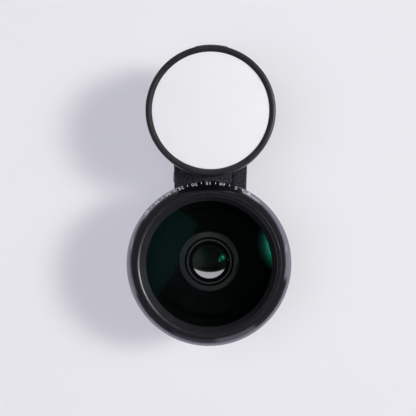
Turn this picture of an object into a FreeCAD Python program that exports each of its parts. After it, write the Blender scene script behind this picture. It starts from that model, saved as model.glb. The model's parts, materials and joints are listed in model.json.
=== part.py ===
import FreeCAD, Part
import math
import os

# Clip-on wide-angle lens for a phone, with a round fill lamp on the clip's handle.
# Millimetres. +Z points out of the lens's front glass, +Y from the lens to the lamp, +X to the right.
# The origin is on the optical axis, in the rear arm's flat outer face, on which the object lies.

# How far a cutting shape reaches past what it cuts
over = 1.0

# Clip: plan
arm_width = 23.3
rear_tip_y = -4.1
rear_end_y = 61.4
rear_edge_round = 0.8
rear_inner_round = 0.5
lamp_axis_y = 46.2
platform_radius = 17.0
platform_blend = 4.0

# Clip: heights
rear_arm_thick = 3.0
pad_pocket_depth = 0.6
rear_pad_thick = 2.2
front_pad_thick = 1.6
closed_gap = 0.3
jaw_plate_thick = 4.0
handle_gap = 15.6
platform_thick = 3.2
ramp_thick = 3.2

# Clip: ramp between jaw and handle, panel and edges
ramp_foot_y = 15.5
ramp_head_y = 35.5
ramp_round = 4.0
panel_width = 14.6
panel_depth = 0.4
panel_margin = 1.2
front_edge_round = 0.6

# Clip: pads
pad_inset = 0.8
pad_corner = 1.5
pad_fit = 0.05
rear_pad_end_y = 19.0
front_pad_end_y = 14.2
aperture_radius = 7.2
pad_rib_count = 4
pad_rib_pitch = 1.6
pad_rib_radius = 0.35

# Clip: hinge
pin_y = 27.0
pin_z = 7.6
pin_radius = 1.25
pin_press_fit = 0.02
pin_running_fit = 0.05
pin_head_radius = 1.9
pin_head_thick = 0.8
pin_chamfer = 0.3
rear_ear_radius = 3.6
rear_ear_thick = 2.4
front_ear_radius = 4.0
front_ear_thick = 2.6
ear_gap = 0.3
ear_side_inset = 0.2
ear_head_width = 11.0

# Clip: torsion spring
wire_radius = 0.55
coil_radius = 2.6
coil_pitch = 1.6
coil_half_turns = 11
lower_leg = 13.0
upper_leg = 11.0
leg_clearance = 0.02

# Clip: finger grip and core-outs of the rear arm
grip_count = 6
grip_pitch = 2.6
grip_first_y = 43.0
grip_radius = 0.6
grip_depth = 0.45
core_depth = 1.2
core_wall = 1.8
core_first_y = 33.5
core_end_y = 57.0
core_rib = 2.6
core_corner = 1.0

# Lens: threaded bush in the front arm
bush_bore = 8.5
bush_radius = 9.4
bush_flange_radius = 10.6
bush_flange_thick = 0.8
bush_pad_gap = 0.1
bush_edge_round = 0.2

# Lens: macro part
thread_fit = 0.05
thread_edge_round = 0.2
macro_rear_gap = 0.4
macro_flange_radius = 13.2
macro_flange_thick = 3.5
macro_flange_round = 0.4
macro_nose_radius = 11.3
macro_nose_length = 3.6
macro_nose_round = 0.25
macro_mouth_chamfer = 0.45
macro_bore = 6.9
macro_glass_radius = 8.0
macro_glass_fit = 0.1
macro_front_curve = 25.0
macro_rear_curve = 70.0
macro_glass_thick = 4.4
macro_glass_drop = 0.8
macro_ring_radius = 8.8
macro_ring_fit = 0.05
macro_ring_bore = 6.5
macro_ring_mouth = 7.9
macro_ring_drop = 0.35
ring_glass_gap = 0.06

# Lens: wide part
wide_height = 19.8
nose_fit = 0.06
neck_radius = 14.6
neck_length = 3.2
neck_round = 0.4
neck_groove_radius = 13.9
neck_groove_length = 1.2
neck_groove_round = 1.5
head_radius = 25.1
head_flare_height = 11.0
head_flare_round = 4.0
head_edge_drop = 2.85
head_edge_round = 2.5
bevel_middle_inset = 2.31
bevel_middle_drop = 0.74
bevel_round = 24.0
crest_inset = 3.3
crest_round = 0.1
rim_width = 4.3
lip_fall = 0.28
lip_round_run = 0.41
lip_round = 1.6
front_glass_inset = 0.5
front_glass_fit = 0.1
front_shelf_drop = 0.1
ring_cover = 1.25
front_curve = 78.0
front_glass_drop = 0.1
rear_curve = 24.0
rear_clear_radius = 16.8
front_glass_thick = 2.2
seat_radius = 17.2
cone_foot_radius = 12.0
cone_foot_rise = 4.5
cone_chamfer = 0.6
ring_fit = 0.02
ring_drop = 0.12
ring_bevel_run = 0.28
ring_edge_round = 0.18
ring_bevel_round = 0.1
ring_foot_gap = 0.04

# Lens: knurls
knurl_count = 48
knurl_radius = 0.45
knurl_depth = 0.22

# Lamp: shell
lamp_radius = 19.55
lamp_height = 13.2
lamp_floor = 1.4
lamp_wall = 1.85
lamp_foot_round = 1.8
lamp_inner_round = 0.8
bezel_height = 4.0
bezel_round = 0.7
bezel_lip_thick = 0.15
bezel_bevel = 0.65
bezel_face_width = 1.2
bezel_bevel_run = 0.75
tongue_thick = 0.9
tongue_fit = 0.05
diffuser_thick = 1.4
diffuser_radius = 18.3
diffuser_fit = 0.1
diffuser_chamfer = 0.15

# Lamp: board and what is on it
board_radius = 17.3
board_thick = 1.0
board_drop = 4.4
post_radius = 1.8
post_edge = 2.1
post_angles = (30, 150, 270)
board_screw_radius = 0.8
board_screw_length = 4.0
board_screw_head_radius = 1.4
board_screw_head_thick = 0.8
led_length = 3.5
led_width = 2.8
led_height = 0.7
led_window = 0.9
led_window_depth = 0.35
outer_led_count = 12
outer_led_ring = 11.4
inner_led_count = 6
inner_led_ring = 5.2
chip_side = 3.0
chip_height = 0.9
inductor_height = 1.4
passive_length = 2.0
passive_width = 1.25
passive_height = 0.9
parts_row_y = 12.2
chip_x = 7.5
left_passive_x = 9.6
passive_pitch = 2.9

# Lamp: battery
battery_length = 22.0
battery_width = 18.0
battery_thick = 4.0
battery_round = 1.2
tape_thick = 0.5
tape_inset = 1.0
lead_radius = 0.5
lead_spread = 3.2
lead_run = 3.2
lead_bend = 1.5

# Lamp: socket, switch and key
socket_width = 7.5
socket_height = 2.5
socket_depth = 5.4
socket_round = 0.6
socket_set_back = 0.5
socket_wall = 0.3
socket_cavity_depth = 4.6
socket_tongue_width = 3.7
socket_tongue_thick = 0.7
socket_tongue_set_back = 0.6
socket_clearance = 0.15
key_width = 10.2
key_height = 3.0
key_stand_out = 1.13
key_clearance = 0.15
key_travel = 0.35
key_flange_extra = 0.9
key_flange_thick = 0.95
key_flange_gap = 0.2
key_edge_round = 0.35
switch_width = 6.0
switch_depth = 3.5
switch_height = 3.3
switch_gap = 0.25
plunger_radius = 0.8
plunger_fit = 0.1
plunger_reach = 0.3
plunger_room = 0.35

# Lamp: screws that hold it to the clip
housing_screw_edge = 2.4
housing_screw_angles = (90, 200, 340)
housing_screw_radius = 0.95
housing_screw_fit = 0.15
housing_screw_length = 5.4
housing_screw_head_radius = 1.7
housing_screw_head_thick = 1.2
housing_screw_head_fit = 0.2
housing_screw_sink = 1.5
boss_radius = 2.2
boss_height = 2.6
slot_width = 0.5
slot_depth = 0.45
slot_share = 0.7


def V(x, y, z):
    return FreeCAD.Vector(x, y, z)


def flat(z):
    """Places plan points (x, y) at height z."""
    return lambda a, b: V(a, b, z)


def side(x):
    """Places side-view points (y, z) at distance x."""
    return lambda a, b: V(x, a, b)


def meridian(y):
    """Places section points (radius, z) beside an upright axis at distance y."""
    return lambda a, b: V(a, y, b)


def outline(corners, place):
    """A closed wire through corners (a, b) or (a, b, radius), whose radius rounds that corner."""
    stops = []
    for i, corner in enumerate(corners):
        here = FreeCAD.Vector(corner[0], corner[1], 0)
        radius = corner[2] if len(corner) > 2 else 0
        if radius == 0:
            stops.append((here, None, here))
            continue
        before = corners[i - 1]
        after = corners[(i + 1) % len(corners)]
        back = (FreeCAD.Vector(before[0], before[1], 0) - here).normalize()
        ahead = (FreeCAD.Vector(after[0], after[1], 0) - here).normalize()
        half = back.getAngle(ahead) / 2
        inward = (back + ahead).normalize()
        centre = here + inward * (radius / math.sin(half))
        reach = radius / math.tan(half)
        stops.append((here + back * reach, centre - inward * radius, here + ahead * reach))
    edges = []
    for i, (start, via, end) in enumerate(stops):
        last = stops[i - 1][2]
        if last.distanceToPoint(start) > 1e-6:
            edges.append(Part.LineSegment(place(last.x, last.y), place(start.x, start.y)).toShape())
        if via is not None:
            arc = Part.Arc(place(start.x, start.y), place(via.x, via.y), place(end.x, end.y))
            edges.append(arc.toShape())
    return Part.Wire(edges)


def plate(corners, z_low, z_high):
    """A plate of the given plan outline."""
    return Part.Face(outline(corners, flat(z_low))).extrude(V(0, 0, z_high - z_low))


def slab(corners, x_low, x_high):
    """A piece of the given side-view outline, as thick along X as the two limits say."""
    return Part.Face(outline(corners, side(x_low))).extrude(V(x_high - x_low, 0, 0))


def turned(corners, axis_y=0):
    """A turned piece of the given section about an upright axis."""
    return Part.Face(outline(corners, meridian(axis_y))).revolve(V(0, axis_y, 0), V(0, 0, 1), 360)


def upright(radius, z_low, z_high, x=0, y=0):
    return Part.makeCylinder(radius, z_high - z_low, V(x, y, z_low))


def cross_bar(radius, x_low, x_high, y, z):
    return Part.makeCylinder(radius, x_high - x_low, V(x_low, y, z), V(1, 0, 0))


def block(x_low, x_high, y_low, y_high, z_low, z_high):
    return Part.makeBox(x_high - x_low, y_high - y_low, z_high - z_low, V(x_low, y_low, z_low))


def on_ring(radius, angle, centre_y=lamp_axis_y):
    """The plan point at a radius and an angle in degrees about an upright axis."""
    turn = math.radians(angle)
    return radius * math.cos(turn), centre_y + radius * math.sin(turn)


def level_edges(shape, z):
    """The edges that lie in the plane at height z."""
    return [e for e in shape.Edges if abs(e.BoundBox.ZMin - z) < 1e-5 and abs(e.BoundBox.ZMax - z) < 1e-5]


def sag(curve, radius):
    """How far a spherical face falls back from its vertex at a radius."""
    return curve - math.sqrt(curve * curve - radius * radius)


def rounded_strip(width, y_low, y_high):
    """Plan outline with a full round at both ends."""
    half = width / 2
    return [(-half, y_low, half), (half, y_low, half), (half, y_high, half), (-half, y_high, half)]


def pad_outline(tip_y, end_y, grow=0):
    """Plan outline of a jaw pad: a full round at the jaw's tip and small corners at the hinge side."""
    half = half_width - pad_inset + grow
    low = tip_y + pad_inset - grow
    high = end_y + grow
    return [(-half, low, half), (half, low, half), (half, high, pad_corner), (-half, high, pad_corner)]


# Sizes and places that follow
rear_pad_top = rear_arm_thick - pad_pocket_depth + rear_pad_thick
front_pad_low = rear_pad_top + closed_gap
front_pad_top = front_pad_low + front_pad_thick
jaw_low = front_pad_top - pad_pocket_depth
jaw_top = jaw_low + jaw_plate_thick
platform_low = rear_arm_thick + handle_gap
platform_top = platform_low + platform_thick
bush_top = jaw_top + bush_flange_thick
macro_flange_top = bush_top + macro_flange_thick
macro_top = macro_flange_top + macro_nose_length
wide_low = macro_flange_top
lip_z = wide_low + wide_height
lamp_top = platform_top + lamp_height
lamp_floor_z = platform_top + lamp_floor
bezel_low = lamp_top - bezel_height
diffuser_top = lamp_top - bezel_bevel - bezel_lip_thick
diffuser_low = diffuser_top - diffuser_thick
board_top = lamp_top - board_drop
board_low = board_top - board_thick
lamp_inner_radius = lamp_radius - lamp_wall
key_z = board_low - switch_height / 2
ramp_angle = math.atan2(platform_low - jaw_low, ramp_head_y - ramp_foot_y)
half_width = arm_width / 2
front_ear_outer = half_width - ear_side_inset
front_ear_inner = front_ear_outer - front_ear_thick
rear_ear_outer = front_ear_inner - ear_gap
rear_ear_inner = rear_ear_outer - rear_ear_thick
housing_screw_ring = platform_radius - housing_screw_edge
post_ring = board_radius - post_edge
macro_vertex = macro_top - macro_glass_drop
macro_rear_vertex = macro_vertex - macro_glass_thick
macro_seat = macro_rear_vertex + sag(macro_rear_curve, macro_bore)
macro_ring_low = macro_vertex - sag(macro_front_curve, macro_glass_radius) + ring_glass_gap
bevel_middle_radius = head_radius - bevel_middle_inset
crest_radius = head_radius - crest_inset
lip_radius = head_radius - rim_width
lip_round_start = lip_radius + lip_round_run
ring_radius = lip_radius - ring_fit
ring_bevel_top = ring_radius - ring_bevel_run
front_glass_radius = lip_radius - front_glass_inset
front_clear_radius = front_glass_radius - ring_cover
front_vertex = lip_z - front_glass_drop
front_rear_vertex = front_vertex - front_glass_thick
front_seat = front_rear_vertex - sag(rear_curve, rear_clear_radius)
front_glass_edge = front_vertex - sag(front_curve, front_glass_radius)
battery_low = lamp_floor_z + tape_thick
battery_top = battery_low + battery_thick
key_flange_half = key_width / 2 + key_flange_extra
flange_front = lamp_axis_y + math.sqrt(lamp_inner_radius ** 2 - key_flange_half ** 2) - key_flange_gap
flange_back = flange_front - key_flange_thick
switch_front = flange_back - key_travel - switch_gap


# Clip

def rim_edges(shape):
    """The edges between a shape's upright walls and its upper faces."""
    rims = []
    for edge in shape.Edges:
        spot = edge.valueAt((edge.FirstParameter + edge.LastParameter) / 2)
        faces = shape.ancestorsOfType(edge, Part.Face)
        rises = sorted(face.normalAt(*face.Surface.parameter(spot)).z for face in faces)
        if len(rises) == 2 and abs(rises[0]) < 1e-6 < rises[1]:
            rims.append(edge)
    return rims


def make_rear_arm():
    arm = plate(rounded_strip(arm_width, rear_tip_y, rear_end_y), 0, rear_arm_thick)
    arm = arm.makeFillet(rear_edge_round, level_edges(arm, 0))
    arm = arm.makeFillet(rear_inner_round, level_edges(arm, rear_arm_thick))
    for sign in (-1, 1):
        low, high = sorted((sign * rear_ear_inner, sign * rear_ear_outer))
        foot = block(low, high, pin_y - rear_ear_radius, pin_y + rear_ear_radius, rear_arm_thick / 2, pin_z)
        arm = arm.fuse([foot, cross_bar(rear_ear_radius, low, high, pin_y, pin_z)])
    cuts = [plate(pad_outline(rear_tip_y, rear_pad_end_y, pad_fit),
                  rear_arm_thick - pad_pocket_depth, rear_arm_thick + over)]
    cuts.append(cross_bar(pin_radius + pin_press_fit, -half_width, half_width, pin_y, pin_z))
    for i in range(grip_count):
        y = grip_first_y + i * grip_pitch
        cuts.append(cross_bar(grip_radius, -arm_width, arm_width, y, grip_depth - grip_radius))
    core_half = half_width - core_wall
    for low, high in ((-core_half, -core_rib / 2), (core_rib / 2, core_half)):
        core = [(low, core_first_y, core_corner), (high, core_first_y, core_corner),
                (high, core_end_y, core_corner), (low, core_end_y, core_corner)]
        pocket = plate(core, rear_arm_thick - core_depth, rear_arm_thick + over)
        inside = rounded_strip(arm_width - 2 * core_wall, rear_tip_y, rear_end_y - core_wall)
        cuts.append(pocket.common(plate(inside, 0, rear_arm_thick + over)))
    return arm.cut(cuts).removeSplitter()


def ramp_point(y, z, lift):
    """A side-view point that stands off the ramp's underside by lift, square to it."""
    return y - lift * math.sin(ramp_angle), z + lift * math.cos(ramp_angle)


def ramp_at(height):
    """The distance y at which the ramp's outer face reaches a height."""
    y, z = ramp_point(ramp_foot_y, jaw_low, ramp_thick)
    return y + (height - z) / math.tan(ramp_angle)


def make_front_arm():
    past = lamp_axis_y + platform_radius + over
    before = -half_width - over
    above = platform_top + over
    profile = [(before, jaw_low), (ramp_foot_y, jaw_low, ramp_round), (ramp_head_y, platform_low, ramp_round),
               (past, platform_low), (past, platform_top), (ramp_at(platform_top), platform_top, ramp_round),
               (ramp_at(jaw_top), jaw_top, ramp_round), (before, jaw_top)]
    arm = slab(profile, -platform_radius - over, platform_radius + over)
    blend_x = half_width + platform_blend
    blend_y = lamp_axis_y - math.sqrt((platform_radius + platform_blend) ** 2 - blend_x ** 2)
    strip = plate([(-half_width, -half_width, half_width), (half_width, -half_width, half_width),
                   (half_width, lamp_axis_y), (-half_width, lamp_axis_y)], 0, above)
    gusset_share = platform_radius / (platform_radius + platform_blend)
    touch_x = blend_x * gusset_share
    touch_y = lamp_axis_y - (lamp_axis_y - blend_y) * gusset_share
    gusset = plate([(-touch_x, touch_y), (-half_width, blend_y), (half_width, blend_y), (touch_x, touch_y)],
                   0, above)
    for sign in (-1, 1):
        gusset = gusset.cut(upright(platform_blend, 0, above, sign * blend_x, blend_y))
    disc = upright(platform_radius, 0, above, 0, lamp_axis_y)
    arm = arm.common(strip.fuse([gusset, disc]).removeSplitter())
    arm = arm.makeFillet(front_edge_round, rim_edges(arm))

    head_low = pin_y - ear_head_width / 2
    head_high = pin_y + ear_head_width / 2
    for sign in (-1, 1):
        low, high = sorted((sign * front_ear_inner, sign * front_ear_outer))
        rise = math.tan(ramp_angle)
        web = [(pin_y - front_ear_radius, pin_z), (pin_y + front_ear_radius, pin_z),
               (head_high, jaw_low + over + (head_high - ramp_foot_y) * rise),
               (head_low, jaw_low + over + (head_low - ramp_foot_y) * rise)]
        arm = arm.fuse([slab(web, low, high), cross_bar(front_ear_radius, low, high, pin_y, pin_z)])

    cuts = [upright(bush_radius, 0, jaw_top + over)]
    cuts.append(plate(pad_outline(-half_width, front_pad_end_y, pad_fit),
                      jaw_low - over, jaw_low + pad_pocket_depth))
    cuts.append(cross_bar(pin_radius + pin_running_fit, -half_width - over, half_width + over, pin_y, pin_z))
    foot_y = ramp_at(jaw_top) + panel_margin
    head_y = ramp_at(platform_top) - panel_margin
    panel = []
    for y, lift in ((foot_y, -panel_depth), (head_y, -panel_depth), (head_y, over), (foot_y, over)):
        z = jaw_top + (y - ramp_at(jaw_top)) * math.tan(ramp_angle)
        panel.append(ramp_point(y, z, lift))
    cuts.append(slab(panel, -panel_width / 2, panel_width / 2))
    for angle in housing_screw_angles:
        x, y = on_ring(housing_screw_ring, angle)
        cuts.append(upright(housing_screw_radius + housing_screw_fit, 0, above, x, y))
        cuts.append(upright(housing_screw_head_radius + housing_screw_head_fit,
                            platform_low - over, platform_low + housing_screw_sink, x, y))
    return arm.cut(cuts).removeSplitter()


def make_rear_jaw_pad():
    pad = plate(pad_outline(rear_tip_y, rear_pad_end_y), rear_arm_thick - pad_pocket_depth, rear_pad_top)
    ribs = []
    for i in range(pad_rib_count):
        y = rear_pad_end_y - pad_rib_pitch * (i + 1)
        ribs.append(cross_bar(pad_rib_radius, -arm_width, arm_width, y, rear_pad_top))
    return pad.cut(ribs)


def make_front_jaw_pad():
    pad = plate(pad_outline(-half_width, front_pad_end_y), front_pad_low, front_pad_top)
    return pad.cut(upright(aperture_radius, 0, front_pad_top + over))


def make_hinge_pin():
    far = front_ear_outer + pin_running_fit
    shaft = cross_bar(pin_radius, -far, half_width, pin_y, pin_z)
    head = cross_bar(pin_head_radius, -far - pin_head_thick, -far, pin_y, pin_z)
    pin = shaft.fuse(head).removeSplitter()
    ends = [e for e in pin.Edges if e.BoundBox.XLength < 1e-5 and
            (abs(e.BoundBox.XMin - half_width) < 1e-5 or abs(e.BoundBox.XMin + far + pin_head_thick) < 1e-5)]
    return pin.makeChamfer(pin_chamfer, ends)


def leg_tilt(length, reach):
    """The tilt at which a leg from the coil ends with its wire's middle at reach from the pin's axis."""
    return math.asin(reach / math.hypot(coil_radius, length)) - math.atan2(coil_radius, length)


def biarc(start, start_way, end, end_way):
    """Two arcs that join two points and keep both directions."""
    gap = end - start
    ways = start_way + end_way
    turn = 2 * (1 - start_way.dot(end_way))
    along = gap.dot(ways)
    reach = (math.sqrt(along * along + turn * gap.dot(gap)) - along) / turn
    knee = start + start_way * reach
    ankle = end - end_way * reach
    middle = (knee + ankle) / 2
    arcs = []
    for first, corner, last in ((start, knee, middle), (middle, ankle, end)):
        chord_middle = (first + last) / 2
        half_chord = first.distanceToPoint(last) / 2
        swing = math.atan2(chord_middle.distanceToPoint(corner), half_chord)
        share = math.tan(swing / 2) / math.tan(swing)
        arcs.append(Part.Arc(first, chord_middle + (corner - chord_middle) * share, last).toShape())
    return arcs


def make_torsion_spring():
    low_tilt = leg_tilt(lower_leg, pin_z - rear_arm_thick - wire_radius - leg_clearance)
    pin_to_foot = V(0, pin_y - ramp_foot_y, pin_z - jaw_low)
    roof = pin_to_foot.y * math.sin(ramp_angle) - pin_to_foot.z * math.cos(ramp_angle)
    high_tilt = ramp_angle + leg_tilt(upper_leg, roof - wire_radius - leg_clearance)
    sweep = coil_half_turns * math.pi - low_tilt - high_tilt
    quarters = math.ceil(sweep / (math.pi / 2))
    start_turn = -math.pi / 2 - low_tilt
    rise = coil_pitch / (2 * math.pi)

    def coil_point(wound):
        turn = start_turn - wound
        return V(rise * (wound - sweep / 2), pin_y + coil_radius * math.cos(turn),
                 pin_z + coil_radius * math.sin(turn))

    def coil_way(wound):
        turn = start_turn - wound
        return V(rise, coil_radius * math.sin(turn), -coil_radius * math.cos(turn)).normalize()

    first, last = coil_point(0), coil_point(sweep)
    leg_tip = first - coil_way(0) * lower_leg
    edges = [Part.LineSegment(leg_tip, first).toShape()]
    for i in range(quarters):
        here, there = sweep * i / quarters, sweep * (i + 1) / quarters
        edges.extend(biarc(coil_point(here), coil_way(here), coil_point(there), coil_way(there)))
    edges.append(Part.LineSegment(last, last + coil_way(sweep) * upper_leg).toShape())
    spine = Part.Wire(edges)
    ring = Part.Wire(Part.Circle(leg_tip, coil_way(0), wire_radius).toShape())
    steps = [sweep * i / (quarters * 12) for i in range(quarters * 12 + 1)]
    least = min(coil_point(a).distanceToPoint(coil_point(b))
                for a in steps for b in steps if b - a > math.pi)
    print("torsion spring: turns %.2f, least gap to itself %.2f mm"
          % (sweep / (2 * math.pi), least - 2 * wire_radius))
    return spine.makePipeShell([ring], True, False)


# Lens

def knurled(shape, radius, z_low, z_high):
    """Fine upright grooves round a turned piece."""
    grooves = []
    for i in range(knurl_count):
        x, y = on_ring(radius + knurl_radius - knurl_depth, 360.0 * i / knurl_count, 0)
        grooves.append(upright(knurl_radius, z_low, z_high, x, y))
    return shape.cut(grooves)


def make_clip_bush():
    low = front_pad_top + bush_pad_gap
    return turned([
        (bush_bore, low), (bush_radius, low), (bush_radius, jaw_top), (bush_flange_radius, jaw_top),
        (bush_flange_radius, bush_top, bush_edge_round), (bush_bore, bush_top)])


def make_macro_barrel():
    thread = bush_bore - thread_fit
    low = front_pad_top + macro_rear_gap
    ring_bore = macro_ring_radius + macro_ring_fit
    glass_bore = macro_glass_radius + macro_glass_fit
    shelf = macro_ring_low - ring_glass_gap
    barrel = turned([
        (macro_bore, low), (thread, low, thread_edge_round), (thread, bush_top),
        (macro_flange_radius, bush_top, macro_flange_round),
        (macro_flange_radius, macro_flange_top, macro_flange_round), (macro_nose_radius, macro_flange_top),
        (macro_nose_radius, macro_top, macro_nose_round), (ring_bore + macro_mouth_chamfer, macro_top),
        (ring_bore, macro_top - macro_mouth_chamfer), (ring_bore, shelf),
        (glass_bore, shelf), (glass_bore, macro_seat), (macro_bore, macro_seat)])
    return knurled(barrel, macro_flange_radius, bush_top, macro_flange_top)


def make_macro_element():
    front_edge = macro_vertex - sag(macro_front_curve, macro_glass_radius)
    rear_edge = macro_rear_vertex + sag(macro_rear_curve, macro_glass_radius)
    half = macro_glass_radius / 2
    edges = [
        Part.Arc(V(0, 0, macro_rear_vertex), V(half, 0, macro_rear_vertex + sag(macro_rear_curve, half)),
                 V(macro_glass_radius, 0, rear_edge)).toShape(),
        Part.LineSegment(V(macro_glass_radius, 0, rear_edge), V(macro_glass_radius, 0, front_edge)).toShape(),
        Part.Arc(V(macro_glass_radius, 0, front_edge),
                 V(half, 0, macro_vertex - sag(macro_front_curve, half)), V(0, 0, macro_vertex)).toShape(),
        Part.LineSegment(V(0, 0, macro_vertex), V(0, 0, macro_rear_vertex)).toShape(),
    ]
    return Part.Face(Part.Wire(edges)).revolve(V(0, 0, 0), V(0, 0, 1), 360)


def make_macro_retaining_ring():
    inner_low = macro_vertex - sag(macro_front_curve, macro_ring_bore) + ring_glass_gap
    top = macro_top - macro_ring_drop
    return turned([(macro_ring_bore, inner_low), (macro_glass_radius, macro_ring_low),
                   (macro_ring_radius, macro_ring_low), (macro_ring_radius, top), (macro_ring_mouth, top)])


def make_wide_barrel():
    bore = macro_nose_radius + nose_fit
    neck_top = wide_low + neck_length
    groove_top = neck_top + neck_groove_length
    flare_z = wide_low + head_flare_height
    shelf = front_glass_edge - front_shelf_drop
    glass_bore = front_glass_radius + front_glass_fit
    foot = wide_low + cone_foot_rise
    barrel = turned([
        (bore, wide_low), (neck_radius, wide_low, neck_round), (neck_radius, neck_top, neck_round),
        (neck_groove_radius, neck_top), (neck_groove_radius, groove_top, neck_groove_round),
        (head_radius, flare_z, head_flare_round), (head_radius, lip_z - head_edge_drop, head_edge_round),
        (bevel_middle_radius, lip_z - bevel_middle_drop, bevel_round), (crest_radius, lip_z, crest_round),
        (lip_round_start, lip_z, lip_round), (lip_radius, lip_z - lip_fall),
        (lip_radius, shelf), (glass_bore, shelf), (glass_bore, front_seat), (seat_radius, front_seat),
        (cone_foot_radius, foot), (bore, foot - cone_chamfer)])
    return knurled(barrel, neck_radius, wide_low, neck_top)


def make_front_element():
    half_rear = rear_clear_radius / 2
    half_front = front_glass_radius / 2
    middle_rear = front_rear_vertex - sag(rear_curve, half_rear)
    middle_front = front_vertex - sag(front_curve, half_front)
    edges = [
        Part.Arc(V(0, 0, front_rear_vertex), V(half_rear, 0, middle_rear),
                 V(rear_clear_radius, 0, front_seat)).toShape(),
        Part.LineSegment(V(rear_clear_radius, 0, front_seat),
                         V(front_glass_radius, 0, front_seat)).toShape(),
        Part.LineSegment(V(front_glass_radius, 0, front_seat),
                         V(front_glass_radius, 0, front_glass_edge)).toShape(),
        Part.Arc(V(front_glass_radius, 0, front_glass_edge), V(half_front, 0, middle_front),
                 V(0, 0, front_vertex)).toShape(),
        Part.LineSegment(V(0, 0, front_vertex), V(0, 0, front_rear_vertex)).toShape(),
    ]
    return Part.Face(Part.Wire(edges)).revolve(V(0, 0, 0), V(0, 0, 1), 360)


def make_front_retaining_ring():
    inner_low = front_vertex - sag(front_curve, front_clear_radius) + ring_foot_gap
    outer_low = front_glass_edge - front_shelf_drop + ring_foot_gap
    top = lip_z - ring_drop
    return turned([(front_clear_radius, inner_low), (ring_radius, outer_low),
                   (ring_radius, top, ring_edge_round), (ring_bevel_top, top, ring_bevel_round)])


# Lamp

def make_lamp_housing():
    tongue_outer = lamp_inner_radius + tongue_thick
    shell = turned([
        (0, platform_top), (lamp_radius, platform_top, lamp_foot_round), (lamp_radius, bezel_low),
        (tongue_outer, bezel_low), (tongue_outer, diffuser_low), (lamp_inner_radius, diffuser_low),
        (lamp_inner_radius, lamp_floor_z, lamp_inner_round), (0, lamp_floor_z)], lamp_axis_y)
    floor_inside = lamp_floor_z - lamp_floor / 2
    joined = []
    for angle in post_angles:
        joined.append(upright(post_radius, floor_inside, board_low, *on_ring(post_ring, angle)))
    for angle in housing_screw_angles:
        x, y = on_ring(housing_screw_ring, angle)
        joined.append(upright(boss_radius, floor_inside, lamp_floor_z + boss_height, x, y))
    shell = shell.fuse(joined)
    cuts = []
    for angle in post_angles:
        x, y = on_ring(post_ring, angle)
        cuts.append(upright(board_screw_radius, board_top - board_screw_length, board_low, x, y))
    for angle in housing_screw_angles:
        x, y = on_ring(housing_screw_ring, angle)
        head = platform_low + housing_screw_sink
        cuts.append(upright(housing_screw_radius, platform_top - over, head + housing_screw_length, x, y))
    half = socket_width / 2 + socket_clearance
    cuts.append(block(-lamp_radius - over, -lamp_inner_radius + over, lamp_axis_y - half, lamp_axis_y + half,
                      board_low - socket_height - socket_clearance, board_low + socket_clearance))
    half = key_width / 2 + key_clearance
    cuts.append(block(-half, half, flange_back, lamp_axis_y + lamp_radius + over,
                      key_z - key_height / 2 - key_clearance, key_z + key_height / 2 + key_clearance))
    return shell.cut(cuts).removeSplitter()


def make_lamp_bezel():
    bore = lamp_inner_radius + tongue_thick + tongue_fit
    seat = diffuser_radius + diffuser_fit
    face_in = lamp_radius - bezel_face_width
    window = face_in - bezel_bevel_run
    lip_low = diffuser_top
    return turned([(lamp_radius, bezel_low), (lamp_radius, lamp_top, bezel_round), (face_in, lamp_top),
                   (window, lamp_top - bezel_bevel), (window, lip_low), (seat, lip_low),
                   (seat, diffuser_low + tongue_fit), (bore, diffuser_low + tongue_fit), (bore, bezel_low)],
                  lamp_axis_y)


def make_diffuser():
    disc = upright(diffuser_radius, diffuser_low, diffuser_top, 0, lamp_axis_y)
    return disc.makeChamfer(diffuser_chamfer, level_edges(disc, diffuser_low))


def make_led_board():
    board = upright(board_radius, board_low, board_top, 0, lamp_axis_y)
    holes = [upright(board_screw_radius, board_low - over, board_top + over, *on_ring(post_ring, angle))
             for angle in post_angles]
    return board.cut(holes)


def make_leds():
    leds = []
    for count, ring in ((outer_led_count, outer_led_ring), (inner_led_count, inner_led_ring)):
        for i in range(count):
            angle = 360.0 * i / count
            led = block(ring - led_width / 2, ring + led_width / 2, -led_length / 2, led_length / 2,
                        board_top, board_top + led_height)
            led_top = board_top + led_height
            led = led.cut(upright(led_window, led_top - led_window_depth, led_top + over, ring, 0))
            led.rotate(V(0, 0, 0), V(0, 0, 1), angle)
            led.translate(V(0, lamp_axis_y, 0))
            leds.append(led)
    return Part.makeCompound(leds)


def make_board_parts():
    """Charging chip, inductor and three capacitors under the board: plan place, sides and height."""
    chip = (chip_side, chip_side, chip_height)
    inductor = (chip_side, chip_side, inductor_height)
    passive = (passive_length, passive_width, passive_height)
    placed = [(-chip_x, parts_row_y, chip), (chip_x, parts_row_y, inductor),
              (-left_passive_x, -parts_row_y, passive),
              (passive_pitch - left_passive_x, -parts_row_y, passive),
              (left_passive_x, -parts_row_y, passive)]
    parts = []
    for x, y, (length, width, height) in placed:
        parts.append(block(x - length / 2, x + length / 2, lamp_axis_y + y - width / 2,
                           lamp_axis_y + y + width / 2, board_low - height, board_low))
    return Part.makeCompound(parts)


def slotted_screw(x, y, radius, length, head_radius, head_thick, head_z, way):
    """A screw whose head starts at head_z and lies along way, +1 up or -1 down, its shaft the other way."""
    head_low, head_high = sorted((head_z, head_z + way * head_thick))
    shaft_low, shaft_high = sorted((head_z, head_z - way * length))
    screw = upright(head_radius, head_low, head_high, x, y).fuse(upright(radius, shaft_low, shaft_high, x, y))
    top = head_z + way * head_thick
    slot_low, slot_high = sorted((top - way * slot_depth, top + way * slot_depth))
    half = slot_width / 2
    reach = head_radius * slot_share
    long_slot = block(x - reach, x + reach, y - half, y + half, slot_low, slot_high)
    cross_slot = block(x - half, x + half, y - reach, y + reach, slot_low, slot_high)
    return screw.cut([long_slot, cross_slot]).removeSplitter()


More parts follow.
